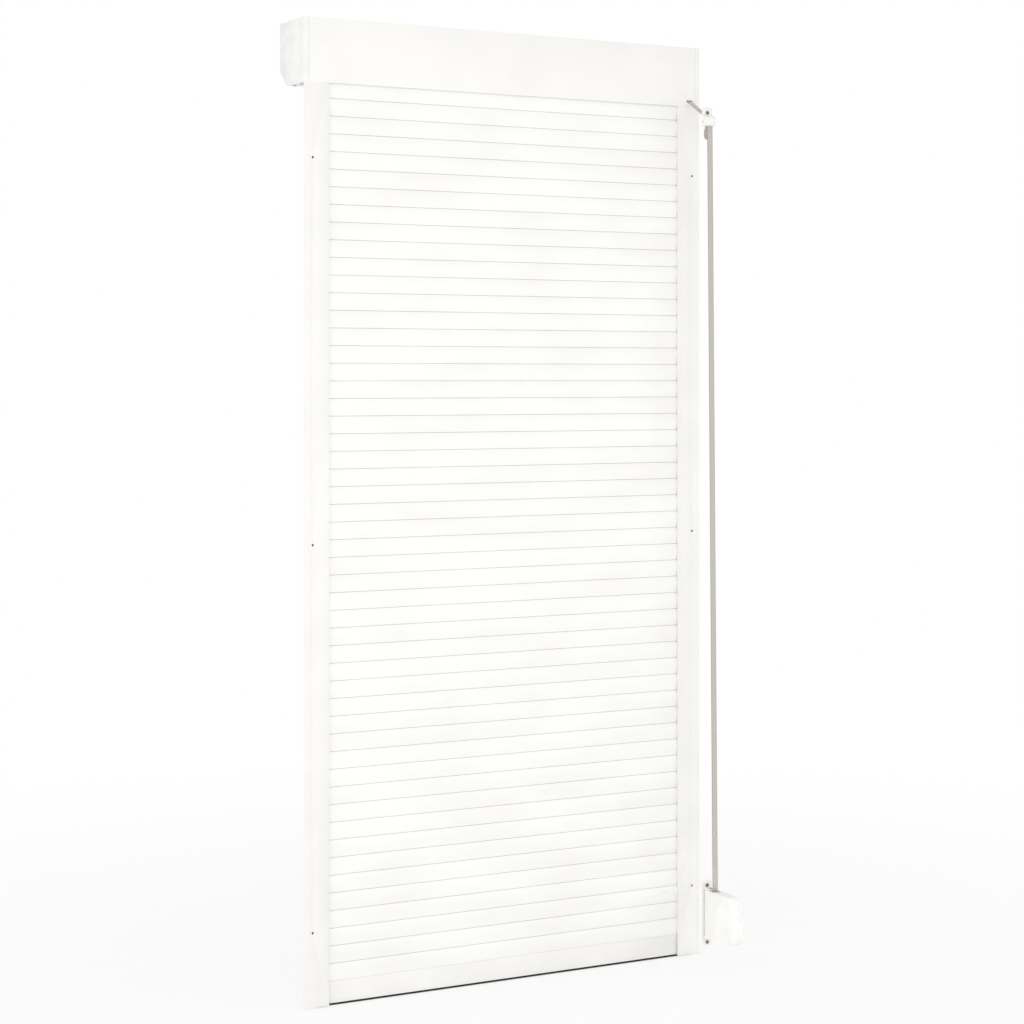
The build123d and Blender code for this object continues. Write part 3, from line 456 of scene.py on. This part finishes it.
@dataclass(frozen=True)
class Galvanised(Finish):
    """Zinc on steel: a grey metal with the flakes that zinc leaves as it sets."""

    shade: str = "8F9396"
    flake_mm: float = 9.0
    flake_ends: tuple[float, float] = (0.1, 0.9)
    glossier: float = 0.08
    duller: float = 0.1
    grain_mm: float = 0.8
    grain_depth_mm: float = 0.008

    def texture(self, tree: bpy.types.NodeTree, shader: bpy.types.Node) -> None:
        """Zinc flakes in tone and gloss."""
        flakes = add_node(tree, "ShaderNodeTexVoronoi", Vector=self.place(tree),
                          Scale=1 / (self.flake_mm * MM))
        tone = add_node(tree, "ShaderNodeSeparateColor", Color=flakes.outputs["Color"])
        self.tint(tree, shader, tone.outputs["Red"], self.shade, self.colour, self.flake_ends)
        self.vary_gloss(tree, shader, tone.outputs["Green"], self.glossier, self.duller)
        self.relief(tree, shader, self.noise(tree, self.grain_mm), self.grain_depth_mm)


@dataclass(frozen=True)
class TurnedMetal(Finish):
    """Small turned or ground metal parts: fine scratches and a worn tone."""

    shade: str = "777777"
    wear_mm: float = 2.5
    wear_ends: tuple[float, float] = (0.4, 0.6)
    gloss_patch_mm: float = 0.7
    glossier: float = 0.08
    duller: float = 0.12
    scratch_mm: float = 0.3
    scratch_stretch: float = 0.2
    scratch_depth_mm: float = 0.006

    def texture(self, tree: bpy.types.NodeTree, shader: bpy.types.Node) -> None:
        """Fine scratches, darker where the plating is worn."""
        wear = self.noise(tree, self.wear_mm, Detail.CROWDED)
        self.tint(tree, shader, wear, self.shade, self.colour, self.wear_ends)
        self.vary_gloss(tree, shader, self.noise(tree, self.gloss_patch_mm), self.glossier, self.duller)
        scratches = self.noise(tree, self.scratch_mm, stretch=(1, self.scratch_stretch, 1))
        self.relief(tree, shader, scratches, self.scratch_depth_mm)


@dataclass(frozen=True)
class StrapWeave(Finish):
    """Polyester shutter strap: ribs of thick warp threads with denser, darker edges."""

    shade: str = "ACA8A0"
    edge: str = "9E9A91"
    width_mm: float = 14.0
    edge_mm: float = 1.6
    dense_edge_mm: float = 0.6
    rib_mm: float = 1.0
    pick_mm: float = 1.3
    rib_depth_mm: float = 0.12
    rib_height: float = 0.5
    tone_ends: tuple[float, float] = (0.0, 0.7)
    sheen: float = 0.25
    sheen_roughness: float = 0.5

    def texture(self, tree: bpy.types.NodeTree, shader: bpy.types.Node) -> None:
        """Ribs along the strap, picks across it, tones between threads and the two woven edges."""
        uv = add_node(tree, "ShaderNodeUVMap", {"uv_map": "StrapUV"}).outputs["UV"]
        parts = add_node(tree, "ShaderNodeSeparateXYZ", Vector=uv)
        across, along = parts.outputs["X"], parts.outputs["Y"]
        ribs = self.wave(tree, across, self.rib_mm)
        # Each rib's picks lie half a pick further on than its neighbour's.
        slip = add_node(tree, "ShaderNodeMath", {"operation": "MULTIPLY"}, input_0=across,
                        input_1=math.pi / (self.rib_mm * MM))
        picks = self.wave(tree, along, self.pick_mm, slip.outputs["Value"])
        weave = add_node(tree, "ShaderNodeMath", {"operation": "MULTIPLY"}, input_0=ribs, input_1=picks)
        raised = add_node(tree, "ShaderNodeMath", {"operation": "ADD"}, input_0=weave.outputs["Value"],
                          input_1=ribs)
        rise = add_node(tree, "ShaderNodeMapRange", Value=raised.outputs["Value"], To_Max=self.rib_height)
        self.relief(tree, shader, rise.outputs["Result"], self.rib_depth_mm)
        body = self.shades(tree, weave.outputs["Value"], self.shade, self.colour, self.tone_ends)
        from_middle = add_node(tree, "ShaderNodeMath", {"operation": "ABSOLUTE"}, input_0=across)
        near_edge = add_node(tree, "ShaderNodeMapRange", {"interpolation_type": "SMOOTHSTEP"},
                             Value=from_middle.outputs["Value"],
                             From_Min=(self.width_mm / 2 - self.edge_mm) * MM,
                             From_Max=(self.width_mm / 2 - self.dense_edge_mm) * MM)
        mix = add_node(tree, "ShaderNodeMix", {"data_type": "RGBA"})
        tree.links.new(near_edge.outputs["Result"], mix.inputs["Factor"])
        tree.links.new(body, mix.inputs["A"])
        mix.inputs["B"].default_value = to_linear(self.edge)
        tree.links.new(mix.outputs["Result"], shader.inputs["Base Color"])
        shader.inputs["Sheen Weight"].default_value = self.sheen
        shader.inputs["Sheen Roughness"].default_value = self.sheen_roughness

    def wave(self, tree: bpy.types.NodeTree, along: bpy.types.NodeSocket, pitch_mm: float,
             shift: bpy.types.NodeSocket | float = 0.0) -> bpy.types.NodeSocket:
        """A wave from 0 to 1 along one direction.

        Args:
            tree: The node tree.
            along: The place along the direction, in metres.
            pitch_mm: The distance from crest to crest.
            shift: An angle added to it.

        Returns:
            The wave's value.
        """
        angle = add_node(tree, "ShaderNodeMath", {"operation": "MULTIPLY_ADD"}, input_0=along,
                         input_1=2 * math.pi / (pitch_mm * MM), input_2=shift)
        sine = add_node(tree, "ShaderNodeMath", {"operation": "SINE"}, input_0=angle.outputs["Value"])
        half = add_node(tree, "ShaderNodeMath", {"operation": "MULTIPLY_ADD"},
                        input_0=sine.outputs["Value"], input_1=0.5, input_2=0.5)
        return half.outputs["Value"]


class Palette:
    """The shutter's finishes, each made once, under the name of its slot in the record."""

    def __init__(self) -> None:
        """Makes every finish."""
        finishes = {
            # Satin white powder coat: bright, with a soft sheen at a slant.
            "box_metal": PowderCoat("White powder-coated aluminium casing", "F4F3F0", 0.42),
            "rail_metal": PowderCoat("White powder-coated extruded aluminium", "F3F2EF", 0.40,
                                     shade="EEEDEA"),
            # Coil-coated slats: the same white, a little glossier.
            "slat_metal": CoilCoat("White coil-coated aluminium slats", "F6F6F3", 0.38),
            # The hinge tongue behind each joint: its grey is painted shade of the gap between slats, with a
            # little real dust.
            "slat_tongue_joint_shade": CoilCoat("Grey hinge tongues of the slats", "BEBDBA", 0.6, shade="AFAEAA"),
            # Moulded ABS: a slightly cooler and duller white than the metal.
            "white_plastic": MouldedPlastic("Moulded white ABS", "F3F3F0", 0.45),
            # Polyamide, a little waxy: grey-beige wheels, reel and plate, black gliders, inlets and clamp.
            "inner_plastic": MouldedPlastic("Moulded grey-beige polyamide", "C9C5BD", 0.5, shade="BDB9B1"),
            "dark_plastic": MouldedPlastic("Moulded black polyamide", "232323", 0.5, shade="1C1C1C"),
            # Rubber and pile: nearly black and without a highlight.
            "seal_rubber": SoftRubber("Extruded black rubber", "1B1B1B", 0.75),
            "pile": BrushPile("Grey brush pile", "5C5C5C", 0.95),
            # Polyester strap: a matt grey-beige whose ribs show only from close by.
            "strap_fabric": StrapWeave("Woven polyester strap", "DDD9D1", 0.85),
            # Bare metals: flaky zinc, dark spring strip, dull yellow plating and bright ground steel.
            "galvanised": Galvanised("Galvanised steel", "B9BDC0", 0.45, metallic=1.0),
            "spring_steel": TurnedMetal("Blued spring steel", "6A6E75", 0.38, metallic=1.0, shade="4D5158"),
            "screw_brass": TurnedMetal("Brass-plated screws", "9A8A6C", 0.42, metallic=1.0, shade="6E6150"),
            "bearing_steel": TurnedMetal("Ground bearing steel", "C4C6C8", 0.22, metallic=1.0,
                                         shade="A9ABAD"),
        }
        self.materials = {slot: finish.build() for slot, finish in finishes.items()}

    def dress(self, piece: bpy.types.Object, slot: str) -> None:
        """Gives a piece one finish all over."""
        piece.data.materials.clear()
        piece.data.materials.append(self.materials[slot])
        for face in piece.data.polygons:
            face.material_index = 0

    def hang(self, piece: bpy.types.Object, slot: str, body: str, *nodes: str) -> None:
        """Hangs a dressed piece on its body and lets it stand for its nodes.

        Args:
            piece: The dressed piece.
            slot: Not used.
            body: The body that it moves with.
            nodes: The nodes that it stands for.
        """
        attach(piece, body)
        if nodes:
            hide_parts(*nodes)
        log.info("piece %s on %s", piece.name, body)

    def dress_piece(self, piece: bpy.types.Object, slot: str, body: str, *nodes: str) -> None:
        """Dresses a new piece in one finish and hangs it.

        Args:
            piece: The new piece.
            slot: The slot of its finish.
            body: The body that it moves with.
            nodes: The nodes that it stands for.
        """
        self.dress(piece, slot)
        self.hang(piece, slot, body, *nodes)


def body_of_node(node: str) -> str:
    """The body that a node belongs to."""
    bodies = frame["record"]["behaviour"]["bodies"]
    return next(body for body, nodes in bodies.items() if node in nodes)


def slot_of_node(node: str) -> str:
    """The slot that the record gives a node."""
    return next(part["material_slot"] for part in frame["record"]["subparts"] if part["node"] == node)


# Sub-assemblies


@dataclass
class RoundedParts:
    """Parts whose shape is right and whose sharp edges get the small radius that the real ones have."""

    palette: Palette
    merge_mm: float = 0.002
    flat_deg: float = 0.5
    sharp_deg: float = 35.0
    round_steps: int = 2
    radii_mm: dict[str, float] = field(default_factory=lambda: {
        "casing_shell": 0.45, "inspection_cover": 0.45,
        "end_cap_left": 0.6, "end_cap_right": 0.6,
        "guide_rail_left": 0.5, "guide_rail_right": 0.5, "rail_foot_caps": 0.4,
        "rail_hole_plugs": 0.5, "bottom_bar": 0.6, "lift_stops": 1.5,
        "strap_outlet": 0.3, "strap_guide_cover": 0.6, "strap_guide_plate": 0.4,
        "winder_bracket": 0.5, "winder_shell_left": 0.35, "winder_shell_right": 0.35,
    })

    def soften(self, node: str, radius_mm: float) -> bpy.types.Object:
        """Copies a node's mesh, merges it and rounds its sharp edges.

        Args:
            node: The node that is copied.
            radius_mm: The width of the rounding, in millimetres.

        Returns:
            The new piece.
        """
        name = f"{node}_finished"
        piece = bpy.data.objects.new(name, frame["nodes"][node].data.copy())
        piece.data.name = name
        bpy.context.scene.collection.objects.link(piece)
        make_active(piece)
        bpy.ops.object.mode_set(mode="EDIT")
        bpy.ops.mesh.select_all(action="SELECT")
        bpy.ops.mesh.remove_doubles(threshold=self.merge_mm * MM)
        bpy.ops.mesh.dissolve_limited(angle_limit=math.radians(self.flat_deg))
        bpy.ops.object.mode_set(mode="OBJECT")
        apply_modifier(piece, "BEVEL", width=radius_mm * MM, segments=self.round_steps,
                       limit_method="ANGLE", angle_limit=math.radians(self.sharp_deg),
                       use_clamp_overlap=True, harden_normals=False)
        smooth(piece)
        return piece

    def build(self) -> None:
        """Makes each rounded part."""
        for node, radius in self.radii_mm.items():
            self.palette.dress_piece(self.soften(node, radius), slot_of_node(node), body_of_node(node), node)


@dataclass
class Curtain:
    """The slats, three to a row, and the end clips of every second one."""

    palette: Palette
    rows: int = 17
    in_row: int = 3
    clip_every: int = 2
    bar_height_mm: float = 51.0
    pitch_mm: float = 37.6
    length_mm: float = 920.0
    depth_mm: float = 8.0
    crown_mm: float = 0.5
    crown_cuts: int = 9
    joint_mm: float = 0.8
    edge_radius_mm: float = 0.7
    edge_steps: int = 3
    shoulder_mm: float = 5.0
    middle_mm: float = 10.0
    clip_mm: float = 2.0
    near_mm: float = 0.01
    upward: float = 0.99
    tongue_root_share: float = 0.2

    def blank(self, name: str, length_mm: float, x_mm: float) -> bpy.types.Object:
        """A slat's solid form with rounded long edges and crowned faces, at the lowest place.

        Args:
            name: The piece's name.
            length_mm: Its length.
            x_mm: The middle of its length.

        Returns:
            The new piece.
        """
        tall = self.pitch_mm - self.joint_mm
        low = self.bar_height_mm + self.joint_mm / 2
        size = Vector((length_mm, self.depth_mm - 2 * self.crown_mm, tall)) * MM
        centre = Vector((x_mm * MM, self.middle_mm * MM, height(low + tall / 2)))
        piece = add_block(name, size, centre)
        bpy.ops.object.mode_set(mode="EDIT")
        pick(piece, Pick.EDGE, lambda e: runs_along(e, size.x))
        bpy.ops.mesh.bevel(offset=self.edge_radius_mm * MM, segments=self.edge_steps, affect="EDGES")
        for cut in range(self.crown_cuts):
            share = (cut + 1) / (self.crown_cuts + 1)
            level = centre.z - size.z / 2 + share * size.z
            bpy.ops.mesh.select_all(action="SELECT")
            bpy.ops.mesh.bisect(plane_co=(0, 0, level), plane_no=(0, 0, 1))
            # The two faces rise as parabolas, from nothing at the edges to the crown half way up.
            lift = self.crown_mm * (1 - (2 * share - 1) ** 2) * MM
            for face in (-1, 1):
                pick(piece, Pick.VERT, lambda v: abs(v.co.z - level) < self.near_mm * MM
                     and (v.co.y - centre.y) * face > 0)
                bpy.ops.transform.translate(value=(0, face * lift, 0))
        bpy.ops.object.mode_set(mode="OBJECT")
        return piece

    def slat(self) -> bpy.types.Object:
        """One slat, with the hinge tongue behind the joint above it, grey with painted joint shade."""
        piece = self.blank("slat", self.length_mm, 0.0)
        piece.data.materials.append(self.palette.materials["slat_metal"])
        piece.data.materials.append(self.palette.materials["slat_tongue_joint_shade"])
        top = max(p.co.z for p in piece.data.vertices)
        root = top + self.tongue_root_share * self.joint_mm * MM
        wide = self.depth_mm - 2 * self.crown_mm - 2 * self.edge_radius_mm
        bpy.ops.object.mode_set(mode="EDIT")
        pick(piece, Pick.FACE, lambda f: f.normal.z > self.upward
             and f.calc_center_median().z > top - self.near_mm * MM)
        bpy.ops.mesh.inset(thickness=(wide - self.shoulder_mm) / 2 * MM)
        bpy.ops.mesh.extrude_region_move(TRANSFORM_OT_translate={"value": (0, 0, self.joint_mm * MM)})
        pick(piece, Pick.FACE, lambda f: f.calc_center_median().z > root)
        # The tongue's grey finish is painted shade of the joint between slats.
        piece.active_material_index = 1
        bpy.ops.object.material_slot_assign()
        bpy.ops.object.mode_set(mode="OBJECT")
        smooth(piece)
        return piece

    def clip(self, side: Side) -> bpy.types.Object:
        """The plastic end of every second slat, which keeps the curtain from wandering."""
        x_mm = side.value * (self.length_mm + self.clip_mm) / 2
        piece = self.blank(f"clip_{side.name.lower()}", self.clip_mm, x_mm)
        smooth(piece)
        return piece

    def build(self) -> None:
        """Makes the rows, each on its own body."""
        slat = self.slat()
        clips = [self.clip(side) for side in Side]
        for row in range(self.rows):
            node = f"slats_{row + 1:02d}"
            slats, ends = [], []
            for k in range(row * self.in_row, (row + 1) * self.in_row):
                shift = Vector((0, 0, k * self.pitch_mm * MM))
                slats.append(copy_of(slat, f"slat_{k + 1:02d}", shift))
                if k % self.clip_every == 0:
                    ends += [copy_of(clip, f"{clip.name}_{k + 1:02d}", shift) for clip in clips]
            self.palette.hang(join(slats, f"{node}_finished"), "slat_metal", f"{node}_row", node)
            self.palette.dress_piece(join(ends, f"{node}_end_clips"), "white_plastic", f"{node}_row")
        for pattern in [slat, *clips]:
            bpy.data.objects.remove(pattern)


@dataclass
class BottomSeal:
    """The rubber strip under the bottom bar: a narrow neck that spreads to a foot with round edges."""

    palette: Palette
    neck_width_share: float = 0.5
    foot_share: float = 0.3
    split_share: float = 0.4
    shoulder_share: float = 0.52
    round_mm: float = 0.9
    round_steps: int = 3

    def build(self) -> None:
        """Makes the strip in the place of the CAD's."""
        low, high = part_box("bottom_seal")
        size = high - low
        block = Vector((size.x, size.y * self.neck_width_share, size.z))
        piece = add_block("bottom_seal_finished", block, (low + high) / 2)
        bpy.ops.object.mode_set(mode="EDIT")
        for share in (self.foot_share, self.shoulder_share):
            bpy.ops.mesh.select_all(action="SELECT")
            bpy.ops.mesh.bisect(plane_co=(0, 0, low.z + size.z * share), plane_no=(0, 0, 1))
        split = low.z + size.z * self.split_share
        pick(piece, Pick.VERT, lambda v: v.co.z < split)
        bpy.ops.transform.resize(value=(1, 1 / self.neck_width_share, 1), center_override=(low + high) / 2)
        pick(piece, Pick.EDGE, lambda e: runs_along(e, size.x) and min(v.co.z for v in e.verts) < split)
        bpy.ops.mesh.bevel(offset=self.round_mm * MM, segments=self.round_steps, affect="EDGES")
        bpy.ops.object.mode_set(mode="OBJECT")
        smooth(piece, Smoothing.SOFT)
        self.palette.dress_piece(piece, "seal_rubber", "end_bar", "bottom_seal")


@dataclass(frozen=True)
class Winding:
    """Turns of strap on a core: their node and body, the radii inside and outside them, and how many."""

    node: str
    body: str
    core: float
    wound: float
    turns: float


@dataclass
class StrapRun:
    """The strap, from the wheel over the outlet and the guide's roller down to the reel.

    The radius of each circle is that of the strap's middle line round it.
    """

    palette: Palette
    width_mm: float = 14.0
    thickness_mm: float = 1.2
    place_mm: float = 472.5
    wheel: Circle = (63.0, 2031.5, 56.5)
    lip: Circle = (0.0, 1970.0, 5.0)
    roller: Circle = (-77.0, 1921.0, 7.9)
    reel: Circle = (-140.0, 114.0, 32.6)
    on_wheel: Winding = Winding("pulley_strap_winding", "roller", 47.05, 55.6, 6.0)
    on_reel: Winding = Winding("reel_strap_winding", "reel", 30.05, 31.7, 1.3)
    twist_top: tuple[float, float] = (-85.0, 1900.0)
    twist_foot: tuple[float, float] = (-106.7, 169.0)
    edge_share: float = 0.7
    edge_steps: int = 3
    bend_steps: int = 12
    turn_steps: int = 48
    run_step_mm: float = 12.0

    def touching(self, first: Circle, second: Circle, second_side: int) -> tuple[Vector, Vector]:
        """The straight stretch between two circles.

        Args:
            first: Centre (y, z) and radius of the first circle, passed on its upper side.
            second: The same of the second circle.
            second_side: 1 where the strap passes it on the same side, -1 on the other.

        Returns:
            The two points where it touches them.
        """
        a, b = Vector(first[:2]), Vector(second[:2])
        gap = b - a
        heading = math.atan2(gap.y, gap.x) + math.asin((-second_side * second[2] + first[2]) / gap.length)
        left = Vector((-math.sin(heading), math.cos(heading)))
        return a - left * first[2], b - left * second[2] * second_side

    def bend(self, circle: Circle, start: Vector, end: Vector) -> list[Vector]:
        """Points round a circle from one place on it to another, the short way."""
        centre = Vector(circle[:2])
        first = math.atan2(*(start - centre).yx)
        turn = (math.atan2(*(end - centre).yx) - first + math.pi) % (2 * math.pi) - math.pi
        angles = [first + turn * i / self.bend_steps for i in range(self.bend_steps + 1)]
        return [centre + Vector((math.cos(a), math.sin(a))) * circle[2] for a in angles]

    def straight(self, start: Vector, end: Vector) -> list[Vector]:
        """Points along a straight stretch, its two ends left out."""
        count = max(2, round((end - start).length / self.run_step_mm))
        return [start.lerp(end, i / count) for i in range(1, count)]

    def route(self) -> list[Vector]:
        """The strap's middle line in (y, z), in millimetres."""
        wheel = Vector((self.wheel[0], self.wheel[1] - self.wheel[2]))
        over_lip = Vector((self.lip[0], self.lip[1] + self.lip[2]))
        slant = self.touching(self.lip, self.roller, 1)
        fall = self.touching(self.roller, self.reel, -1)
        points = [wheel, *self.straight(wheel, over_lip), *self.bend(self.lip, over_lip, slant[0])]
        points += [*self.straight(*slant), *self.bend(self.roller, slant[1], fall[0])]
        return points + [*self.straight(*fall), fall[1]]

    def section(self) -> list[tuple[float, float]]:
        """The strap's rounded section: (across, through), in millimetres."""
        half, thin = self.width_mm / 2, self.thickness_mm / 2
        edge = thin * self.edge_share
        outline = []
        for cx, cy, first in ((half - edge, thin - edge, 0), (edge - half, thin - edge, 90),
                              (edge - half, edge - thin, 180), (half - edge, edge - thin, 270)):
            for step in range(self.edge_steps + 1):
                angle = math.radians(first + step * 90 / self.edge_steps)
                outline.append((cx + edge * math.cos(angle), cy + edge * math.sin(angle)))
        return outline

    def band(self, name: str, route: list[Vector]) -> bpy.types.Object:
        """A closed band of strap along a route, with its own map for the weave.

        Args:
            name: The piece's name.
            route: The band's middle line in (y, z), in millimetres.

        Returns:
            The new piece, dressed.
        """
        section = self.section()
        shape = bmesh.new()
        layer = shape.loops.layers.uv.new("StrapUV")
        rings, travelled = [], [0.0]
        for i, point in enumerate(route):
            ahead = route[min(i + 1, len(route) - 1)] - route[max(i - 1, 0)]
            across = Vector((-ahead.y, ahead.x)).normalized()
            rings.append([shape.verts.new(((self.place_mm + u) * MM, (point.x + across.x * v) * MM,
                                           height(point.y + across.y * v))) for u, v in section])
            if i:
                travelled.append(travelled[-1] + (point - route[i - 1]).length)
        count = len(section)
        for i in range(len(rings) - 1):
            for j in range(count):
                k = (j + 1) % count
                face = shape.faces.new((rings[i][j], rings[i + 1][j], rings[i + 1][k], rings[i][k]))
                marks = ((section[j][0], travelled[i]), (section[j][0], travelled[i + 1]),
                         (section[k][0], travelled[i + 1]), (section[k][0], travelled[i]))
                for loop, mark in zip(face.loops, marks):
                    loop[layer].uv = (mark[0] * MM, mark[1] * MM)
        shape.faces.new(rings[0])
        shape.faces.new(reversed(rings[-1]))
        bmesh.ops.recalc_face_normals(shape, faces=shape.faces)
        mesh = bpy.data.meshes.new(name)
        shape.to_mesh(mesh)
        shape.free()
        piece = bpy.data.objects.new(name, mesh)
        bpy.context.scene.collection.objects.link(piece)
        smooth(piece, Smoothing.SOFT)
        self.palette.dress(piece, "strap_fabric")
        return piece

    def spiral(self, centre: tuple[float, float], winding: Winding) -> list[Vector]:
        """The middle line of a wound band, from its first turn to its last.

        Args:
            centre: The wheel's centre (y, z).
            winding: The turns on it.

        Returns:
            The points, in millimetres.
        """
        steps = round(winding.turns * self.turn_steps)
        first, last = winding.core + self.thickness_mm / 2, winding.wound - self.thickness_mm / 2
        points = []
        for step in range(steps + 1):
            angle = 2 * math.pi * winding.turns * step / steps
            radius = first + (last - first) * step / steps
            points.append(Vector(centre) + Vector((math.cos(angle), math.sin(angle))) * radius)
        return points

    def build(self) -> None:
        """Makes the free run and the turns on the wheel and on the reel."""
        run = self.band("strap_finished", self.route())
        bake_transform(run)
        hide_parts("strap")
        log.info("piece %s between frame and winder", run.name)
        for circle, winding in ((self.wheel, self.on_wheel), (self.reel, self.on_reel)):
            wound = self.band(f"{winding.node}_finished", self.spiral(circle[:2], winding))
            self.palette.hang(wound, "strap_fabric", winding.body, winding.node)


@dataclass
class CarriedNodes:
    """The nodes that stay as they are and only get their finish."""

    palette: Palette

    def build(self, nodes: Iterable[str]) -> None:
        """Dresses every node that no new piece stands for.

        Args:
            nodes: The names of all nodes.
        """
        for node in nodes:
            piece = frame["nodes"][node]
            if piece.hide_render:
                continue
            self.palette.dress(piece, slot_of_node(node))
            log.info("node %s dressed", node)


# Studio


@dataclass(frozen=True)
class Lamp:
    """A square soft lamp: its place and aim in the frame, its side in metres and its power in watts."""

    name: str
    place: tuple[float, float, float]
    aim: tuple[float, float, float]
    size: float
    power: float
    spread_deg: float = 180.0

    def build(self) -> None:
        """Adds the lamp, turned to its aim."""
        data = bpy.data.lights.new(self.name, "AREA")
        data.size = self.size
        data.energy = self.power
        data.spread = math.radians(self.spread_deg)
        lamp = bpy.data.objects.new(self.name, data)
        lamp.location = self.place
        heading = Vector(self.aim) - Vector(self.place)
        lamp.rotation_euler = heading.to_track_quat("-Z", "Y").to_euler()
        bpy.context.scene.collection.objects.link(lamp)


@dataclass
class Studio:
    """Floor, lamps and camera round the shutter, in metres where a name doesn't say otherwise."""

    floor_mm: float = -0.5
    floor_size: float = 24.0
    floor_colour: str = "FAFAFA"
    backdrop_colour: str = "FFFFFF"
    floor_glow: float = 0.62
    fade_start: float = 0.5
    fade_end: float = 3.2
    ambient: float = 0.9
    lens_mm: float = 82.577
    sensor_mm: float = 36.0
    shift: tuple[float, float] = (-0.0004, -0.1302)
    camera_place: tuple[float, float, float] = (-2.5355, -4.5472, 0.3525)
    camera_turn_deg: float = -29.18
    lamps: tuple[Lamp, ...] = (
        Lamp("key_lamp", (-2.6, -4.4, 0.6), (0.1, 0, -0.3), 2.6, 28.0),
        Lamp("fill_lamp", (2.6, -3.8, -0.7), (0.4, 0, -0.8), 2.4, 20.0),
        Lamp("side_lamp", (-4.2, -1.8, -0.7), (0.4, 0, -0.8), 2.2, 32.0),
        # A narrow beam that lifts the cassette alone, the brightest piece of the shutter.
        Lamp("winder_lamp", (-2.2, -2.9, -0.8), (0.47, -0.22, -0.87), 0.2, 0.05, 7.0),
    )

    def floor(self) -> None:
        """A pale floor that shows the shutter's shadow and fades into the white backdrop."""
        deselect_all()
        bpy.ops.mesh.primitive_plane_add(size=self.floor_size, location=(0, 0, height(self.floor_mm)))
        floor = bpy.context.object
        floor.name = "studio_floor"
        material = bpy.data.materials.new("Pale studio floor")
        material.use_nodes = True
        tree = material.node_tree
        tree.nodes.clear()
        matt = add_node(tree, "ShaderNodeBsdfDiffuse", Color=to_linear(self.floor_colour))
        backdrop = add_node(tree, "ShaderNodeEmission", Color=to_linear(self.backdrop_colour), Strength=1.0)
        place = add_node(tree, "ShaderNodeTexCoord").outputs["Object"]
        away = add_node(tree, "ShaderNodeVectorMath", {"operation": "LENGTH"}, input_0=place)
        fade = add_node(tree, "ShaderNodeMapRange", {"interpolation_type": "SMOOTHSTEP"},
                        Value=away.outputs["Value"], From_Min=self.fade_start, From_Max=self.fade_end,
                        To_Min=self.floor_glow)
        shown = add_node(tree, "ShaderNodeMath", {"operation": "MULTIPLY"}, input_0=fade.outputs["Result"],
                         input_1=self.seen_directly(tree))
        both = add_node(tree, "ShaderNodeMixShader", Fac=shown.outputs["Value"])
        tree.links.new(matt.outputs["BSDF"], both.inputs[1])
        tree.links.new(backdrop.outputs["Emission"], both.inputs[2])
        add_node(tree, "ShaderNodeOutputMaterial", Surface=both.outputs["Shader"])
        floor.data.materials.append(material)

    def seen_directly(self, tree: bpy.types.NodeTree) -> bpy.types.NodeSocket:
        """1 for what the camera sees directly, in a reflection or through glass."""
        path = add_node(tree, "ShaderNodeLightPath")
        first = add_node(tree, "ShaderNodeMath", {"operation": "MAXIMUM"},
                         input_0=path.outputs["Is Camera Ray"], input_1=path.outputs["Is Glossy Ray"])
        return add_node(tree, "ShaderNodeMath", {"operation": "MAXIMUM"}, input_0=first.outputs["Value"],
                        input_1=path.outputs["Is Transmission Ray"]).outputs["Value"]

    def world(self) -> None:
        """White surroundings that light the shutter softly from all sides."""
        world = bpy.data.worlds.new("White studio")
        bpy.context.scene.world = world
        world.use_nodes = True
        tree = world.node_tree
        tree.nodes.clear()
        strength = add_node(tree, "ShaderNodeMapRange", Value=self.seen_directly(tree), To_Min=self.ambient,
                            To_Max=1.0)
        light = add_node(tree, "ShaderNodeBackground", Color=to_linear(self.backdrop_colour),
                         Strength=strength.outputs["Result"])
        add_node(tree, "ShaderNodeOutputWorld", Surface=light.outputs["Background"])

    def camera(self) -> None:
        """The camera that the slat lines of the photograph give: level, with the frame shifted down."""
        data = bpy.data.cameras.new("camera")
        data.lens = self.lens_mm
        data.sensor_width = self.sensor_mm
        data.shift_x, data.shift_y = self.shift
        camera = bpy.data.objects.new("camera", data)
        camera.location = self.camera_place
        camera.rotation_euler = (math.pi / 2, 0, math.radians(self.camera_turn_deg))
        bpy.context.scene.collection.objects.link(camera)
        bpy.context.scene.camera = camera

    def build(self) -> None:
        """Sets up the whole studio."""
        self.floor()
        self.world()
        for lamp in self.lamps:
            lamp.build()
        self.camera()
        bpy.context.scene.view_settings.view_transform = "Standard"


def main() -> None:
    """Builds the shutter's pieces in order, then the studio."""
    logging.basicConfig(level=logging.INFO, format="%(name)s: %(message)s")
    deselect_all()
    palette = Palette()
    RoundedParts(palette).build()
    Curtain(palette).build()
    BottomSeal(palette).build()
    StrapRun(palette).build()
    CarriedNodes(palette).build(sorted(frame["nodes"]))
    Studio().build()
    deselect_all()


if __name__ == "__main__":
    main()
